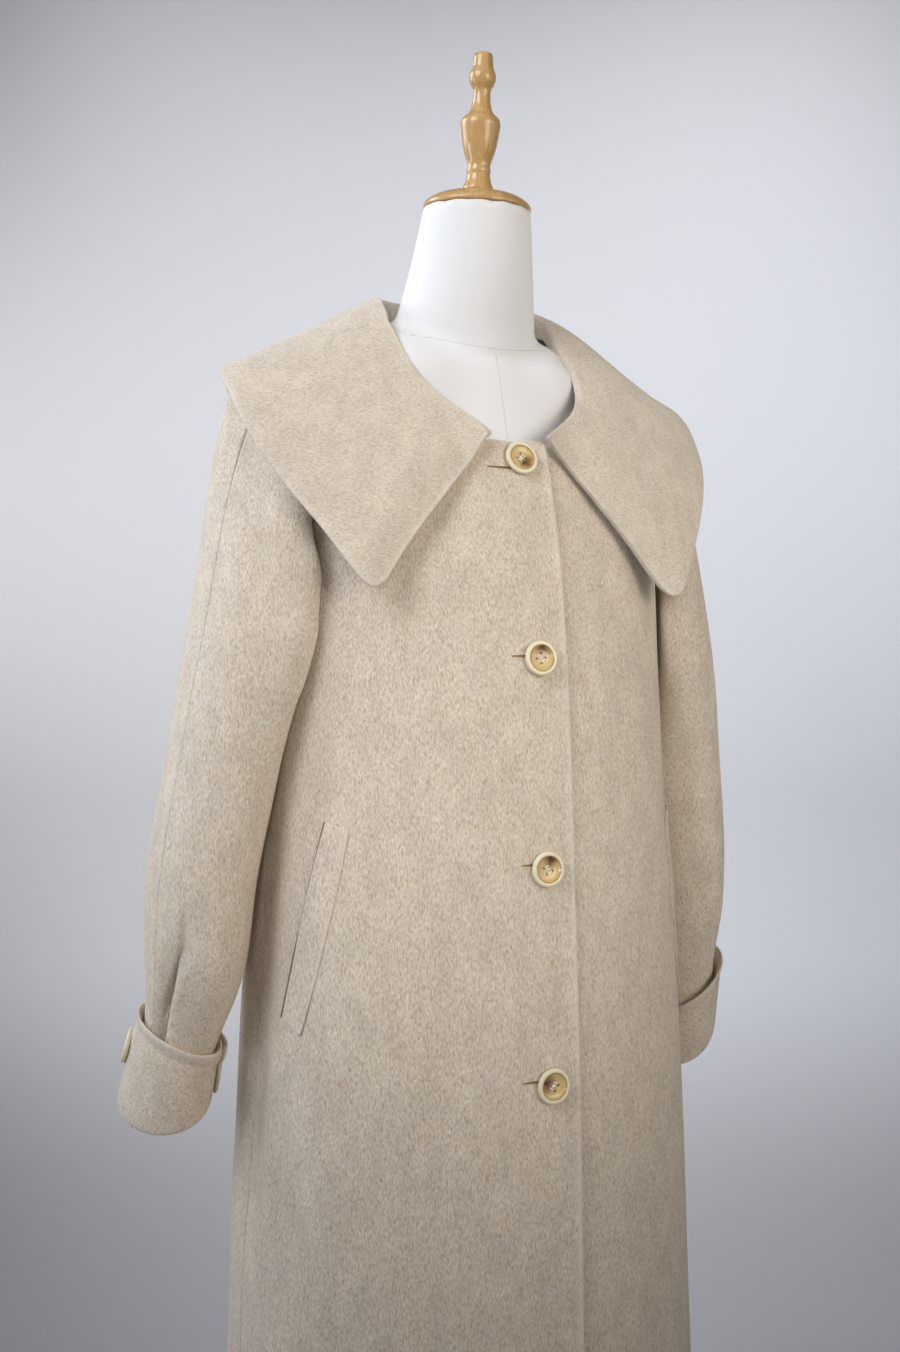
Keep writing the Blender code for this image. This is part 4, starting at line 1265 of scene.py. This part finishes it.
@dataclass
class Buttonhole:
    """A slit beside a front button, its raw lips held down with thread."""

    button: str
    end: Point
    lip: float = 0.8 * MM
    slit_radius: float = 0.55 * MM
    lip_radius: float = 0.42 * MM

    def build(self, thread: bpy.types.Material, dark: bpy.types.Material, cloth: bpy.types.Object) -> None:
        """Lays the slit and its lips on the cloth.

        Args:
            thread: The lips' finish.
            dark: The slit's dark cord, painted shade inside the slit.
            cloth: The front that has the slit.
        """
        start = middle_of(self.button)
        skin = surface_of(cloth)
        rows: dict[float, list[Vector]] = {-1.0: [], 0.0: [], 1.0: []}
        for share in np.linspace(0.0, 1.0, 14):
            x = start.x + 2.0 * MM + (self.end[0] - start.x - 2.0 * MM) * share
            open_at = math.sin(math.pi * min(max(share, 0.02), 0.985)) ** 0.4
            for row, path in rows.items():
                z = self.end[2] + row * self.lip * open_at
                place, *_ = skin.ray_cast(Vector((x, -0.4, z)), Vector((0.0, 1.0, 0.0)))
                path.append(place + Vector((0.0, -0.1 * MM if row else 0.1 * MM, 0.0)))
        up = Vector((0.0, -1.0, 0.0))
        # The dark cord in the slit is painted shade.
        show(tubes(self.button + "_slit", [rows[0.0]], self.slit_radius, up, 6), dark, Slot.WOOL)
        lips = [rows[-1.0], rows[1.0]]
        show(tubes(self.button + "_slit_lips", lips, self.lip_radius, up, 6), thread, Slot.WOOL)


@dataclass
class PocketMouth:
    """The shaded slit along a welt's side edge, where a hand goes in."""

    side: int
    edge: tuple[tuple[float, float], ...] = ((0.175, 0.937), (0.186, 0.882), (0.195, 0.827), (0.203, 0.77))
    beside: float = 0.7 * MM
    radius: float = 0.8 * MM

    def build(self, dark: bpy.types.Material, cloth: bpy.types.Object) -> None:
        """Lays the slit on the front.

        Args:
            dark: The finish of the slit's inside.
            cloth: The front that has the pocket.
        """
        skin = surface_of(cloth)
        xs, zs = zip(*self.edge)
        path = []
        for z in np.linspace(zs[0], zs[-1], 24):
            x = self.side * (np.interp(-z, [-v for v in zs], xs) + self.beside)
            place, *_ = skin.ray_cast(Vector((x, -0.4, z)), Vector((0.0, 1.0, 0.0)))
            path.append(place)
        name = "pocket_mouth_" + ("right" if self.side < 0 else "left")
        show(tubes(name, [path], self.radius, Vector((0.0, -1.0, 0.0)), 6), dark, Slot.WOOL)


@dataclass
class Fastenings:
    """Horn buttons on the front edge and the cuffs, and the slits in the right front."""

    finish: PolishedHorn = PolishedHorn()
    sewn: TwistedThread = TwistedThread()
    buttons: tuple[Button, ...] = (
        Button("button_front_1", (5.0, -5.0), "front_right", Bulge.TRUNK, 36.0),
        Button("button_front_2", (2.0, 9.0), "front_right", Bulge.TRUNK, 50.0),
        Button("button_front_3", (3.0, 9.0), "front_right", Bulge.TRUNK, 41.0),
        Button("button_front_4", (-7.0, 3.0), "front_right", Bulge.TRUNK, 28.0),
        Button("button_cuff_right", (0.0, 8.0), "cuff_right", Bulge.ARM_RIGHT, 12.0, 1.0 * MM),
        Button("button_cuff_left", (0.0, 8.0), "cuff_left", Bulge.ARM_LEFT, 30.0, 1.0 * MM),
    )
    slits: tuple[Buttonhole, ...] = (
        Buttonhole("button_front_1", (-0.034, -0.109, 1.2426)),
        Buttonhole("button_front_2", (-0.0267, -0.1394, 1.0771)),
        Buttonhole("button_front_3", (-0.0238, -0.1511, 0.8987)),
        Buttonhole("button_front_4", (-0.0282, -0.1602, 0.7163)),
    )

    def build(self, coat: Coat) -> None:
        """Makes the buttons and the slits.

        Args:
            coat: The coat that carries them.
        """
        thread = self.sewn.make("polyester_twisted_thread")
        lips = TwistedThread("BFA988", "A58A66").make("silk_twisted_buttonhole")
        dark = TwistedThread("6E5439", "4F3A26").make("wool_raw_edge_in_shade")
        for button in self.buttons:
            button.build(self.finish, thread, coat.made[button.carrier])
        for slit in self.slits:
            slit.build(lips, dark, coat.made["front_right"])
        mouth = TwistedThread("A2896A", "8A7054").make("wool_pocket_mouth_in_shade")
        for side, front in ((-1, "front_right"), (1, "front_left")):
            PocketMouth(side).build(mouth, coat.made[front])


@dataclass(frozen=True)
class Lamp:
    """One soft square light, its beam narrowed by a honeycomb grid.

    Places are the distance behind the part, to the right of it and above the floor, as the camera sees it.
    """

    name: str
    place: Point
    aim: Point
    size: float
    watts: float
    colour: str
    spread_deg: float


@dataclass
class Studio:
    """Pale floor and wall, soft light from the upper left, and the camera."""

    turn_deg: float = 28.0
    distance: float = 1.42
    aside: float = 0.0112
    eye_height: float = 1.06
    focal_px: float = 1502.0
    floor_reach: float = 6.0
    wall_behind: float = 1.8
    wall_curve: float = 0.8
    wall_height: float = 5.0
    sky: str = "E8EBF2"
    sky_light: float = 0.02
    sky_seen: float = 0.44
    lamps: tuple[Lamp, ...] = (
        Lamp("window", (-1.5, -1.3, 2.4), (0.0, 0.0, 1.36), 1.3, 5.3, "F6F8FF", 62.0),
        Lamp("ceiling", (-0.6, -0.4, 2.9), (0.0, 0.0, 1.2), 1.5, 1.5, "F4F9FF", 90.0),
        Lamp("front", (-2.0, -0.1, 1.0), (0.0, 0.04, 0.92), 0.4, 0.11, "FFFDFC", 18.0),
        Lamp("front_right", (-1.6, 1.5, 1.6), (0.0, 0.0, 1.34), 1.4, 3.7, "FFF4E6", 56.0),
        Lamp("side_right", (-0.4, 2.0, 1.6), (0.0, 0.0, 1.3), 1.2, 0.9, "FFFFFF", 70.0),
        Lamp("side_left", (-0.4, -2.1, 1.1), (0.0, 0.0, 1.1), 0.7, 1.5, "F4F8FF", 70.0),
        Lamp("back_left", (0.6, -1.8, 2.2), (0.0, 0.0, 1.3), 1.2, 4.2, "F1F6FF", 70.0),
        Lamp("floor_front", (-2.8, 0.0, 3.2), (-2.9, 0.0, 0.0), 1.8, 6.0, "FFFFFF", 46.0),
        Lamp("wall_top_left", (0.7, -0.8, 3.0), (1.8, -0.2, 1.5), 1.0, 3.6, "FFFFFF", 90.0),
        Lamp("wall_top_right", (0.7, 0.9, 3.0), (1.8, 0.5, 1.5), 1.0, 5.1, "FFFFFF", 90.0),
        Lamp("wall_left", (1.0, -2.2, 1.5), (1.8, 0.0, 1.3), 1.0, 5.3, "FFFFFF", 80.0),
        Lamp("wall_right", (1.0, 2.2, 1.6), (1.8, 0.0, 1.3), 1.0, 2.7, "FFFFFF", 80.0),
    )

    def axes(self) -> tuple[Vector, Vector]:
        """Finds the camera's right and forward directions.

        Returns:
            The two unit vectors.
        """
        turn = math.radians(self.turn_deg)
        return Vector((math.cos(turn), -math.sin(turn), 0.0)), Vector((math.sin(turn), math.cos(turn), 0.0))

    def add_camera(self) -> None:
        """Sets the camera at the photograph's viewing angle."""
        right, view = self.axes()
        data = bpy.data.cameras.new("studio_camera")
        data.sensor_width = 36.0
        data.lens = 36.0 * self.focal_px / IMAGE_HEIGHT
        camera = bpy.data.objects.new("studio_camera", data)
        bpy.context.scene.collection.objects.link(camera)
        place = -view * self.distance - right * self.aside + Vector((0.0, 0.0, self.eye_height))
        camera.matrix_world = Matrix((
            (right.x, 0.0, -view.x, place.x),
            (right.y, 0.0, -view.y, place.y),
            (0.0, 1.0, 0.0, place.z),
            (0.0, 0.0, 0.0, 1.0),
        ))
        bpy.context.scene.camera = camera

    def add_light(self, lamp: Lamp) -> None:
        """Adds one light.

        Args:
            lamp: The light.
        """
        right, view = self.axes()
        stand, aim = (view * behind + right * across + Vector((0.0, 0.0, up))
                      for behind, across, up in (lamp.place, lamp.aim))
        data = bpy.data.lights.new(lamp.name, "AREA")
        data.spread = math.radians(lamp.spread_deg)
        data.size = lamp.size
        data.energy = lamp.watts
        data.color = to_linear(lamp.colour)[:3]
        made = bpy.data.objects.new(lamp.name, data)
        made.location = stand
        made.rotation_euler = (aim - stand).to_track_quat("-Z", "Y").to_euler()
        bpy.context.scene.collection.objects.link(made)

    def add_stage(self) -> None:
        """Adds the floor and the wall, joined by a wide curve."""
        paint = StudioPaint().make("emulsion_rolled_pale")
        curve, foot = self.wall_curve, self.wall_behind - self.wall_curve
        profile = [(-self.floor_reach, 0.0), (foot, 0.0)]
        profile += [(foot + curve * math.sin(t), curve - curve * math.cos(t))
                    for t in np.linspace(0.1, math.pi / 2, 16)]
        profile.append((self.wall_behind, self.wall_height))
        work = bmesh.new()
        rows = []
        for across in np.linspace(-self.floor_reach, self.floor_reach, 13):
            rows.append([work.verts.new((across, depth, up - 0.5 * MM)) for depth, up in profile])
        for one, two in zip(rows, rows[1:]):
            for k in range(len(profile) - 1):
                work.faces.new((one[k], two[k], two[k + 1], one[k + 1]))
        mesh = mesh_from(work, "studio_sweep")
        mesh.shade_smooth()
        sweep = new_piece("studio_sweep", mesh)
        mesh.materials.append(paint)
        sweep.rotation_euler.z = -math.radians(self.turn_deg)

    def build(self) -> None:
        """Sets the stage, the lights and the camera."""
        self.add_camera()
        self.add_stage()
        for lamp in self.lamps:
            self.add_light(lamp)
        world = bpy.data.worlds.new("studio")
        world.use_nodes = True
        tree = world.node_tree
        sky = tree.nodes["Background"]
        sky.inputs["Color"].default_value = to_linear(self.sky)
        # What shows beyond the floor is pale, and yet gives the part hardly any light.
        seen = add_node(tree, "LightPath").outputs["Is Camera Ray"]
        glow = add_node(tree, "MapRange", {"To Min": self.sky_light, "To Max": self.sky_seen},
                        {"Value": seen})
        tree.links.new(glow.outputs["Result"], sky.inputs["Strength"])
        bpy.context.scene.world = world
        bpy.context.scene.view_settings.view_transform = "Standard"


def main() -> None:
    """Builds the coat, the form and the studio in order."""
    logging.basicConfig(level=logging.INFO)
    Studio().build()
    coat = Coat()
    coat.build()
    Fastenings().build(coat)
    DressForm().build()


if __name__ == "__main__":
    main()
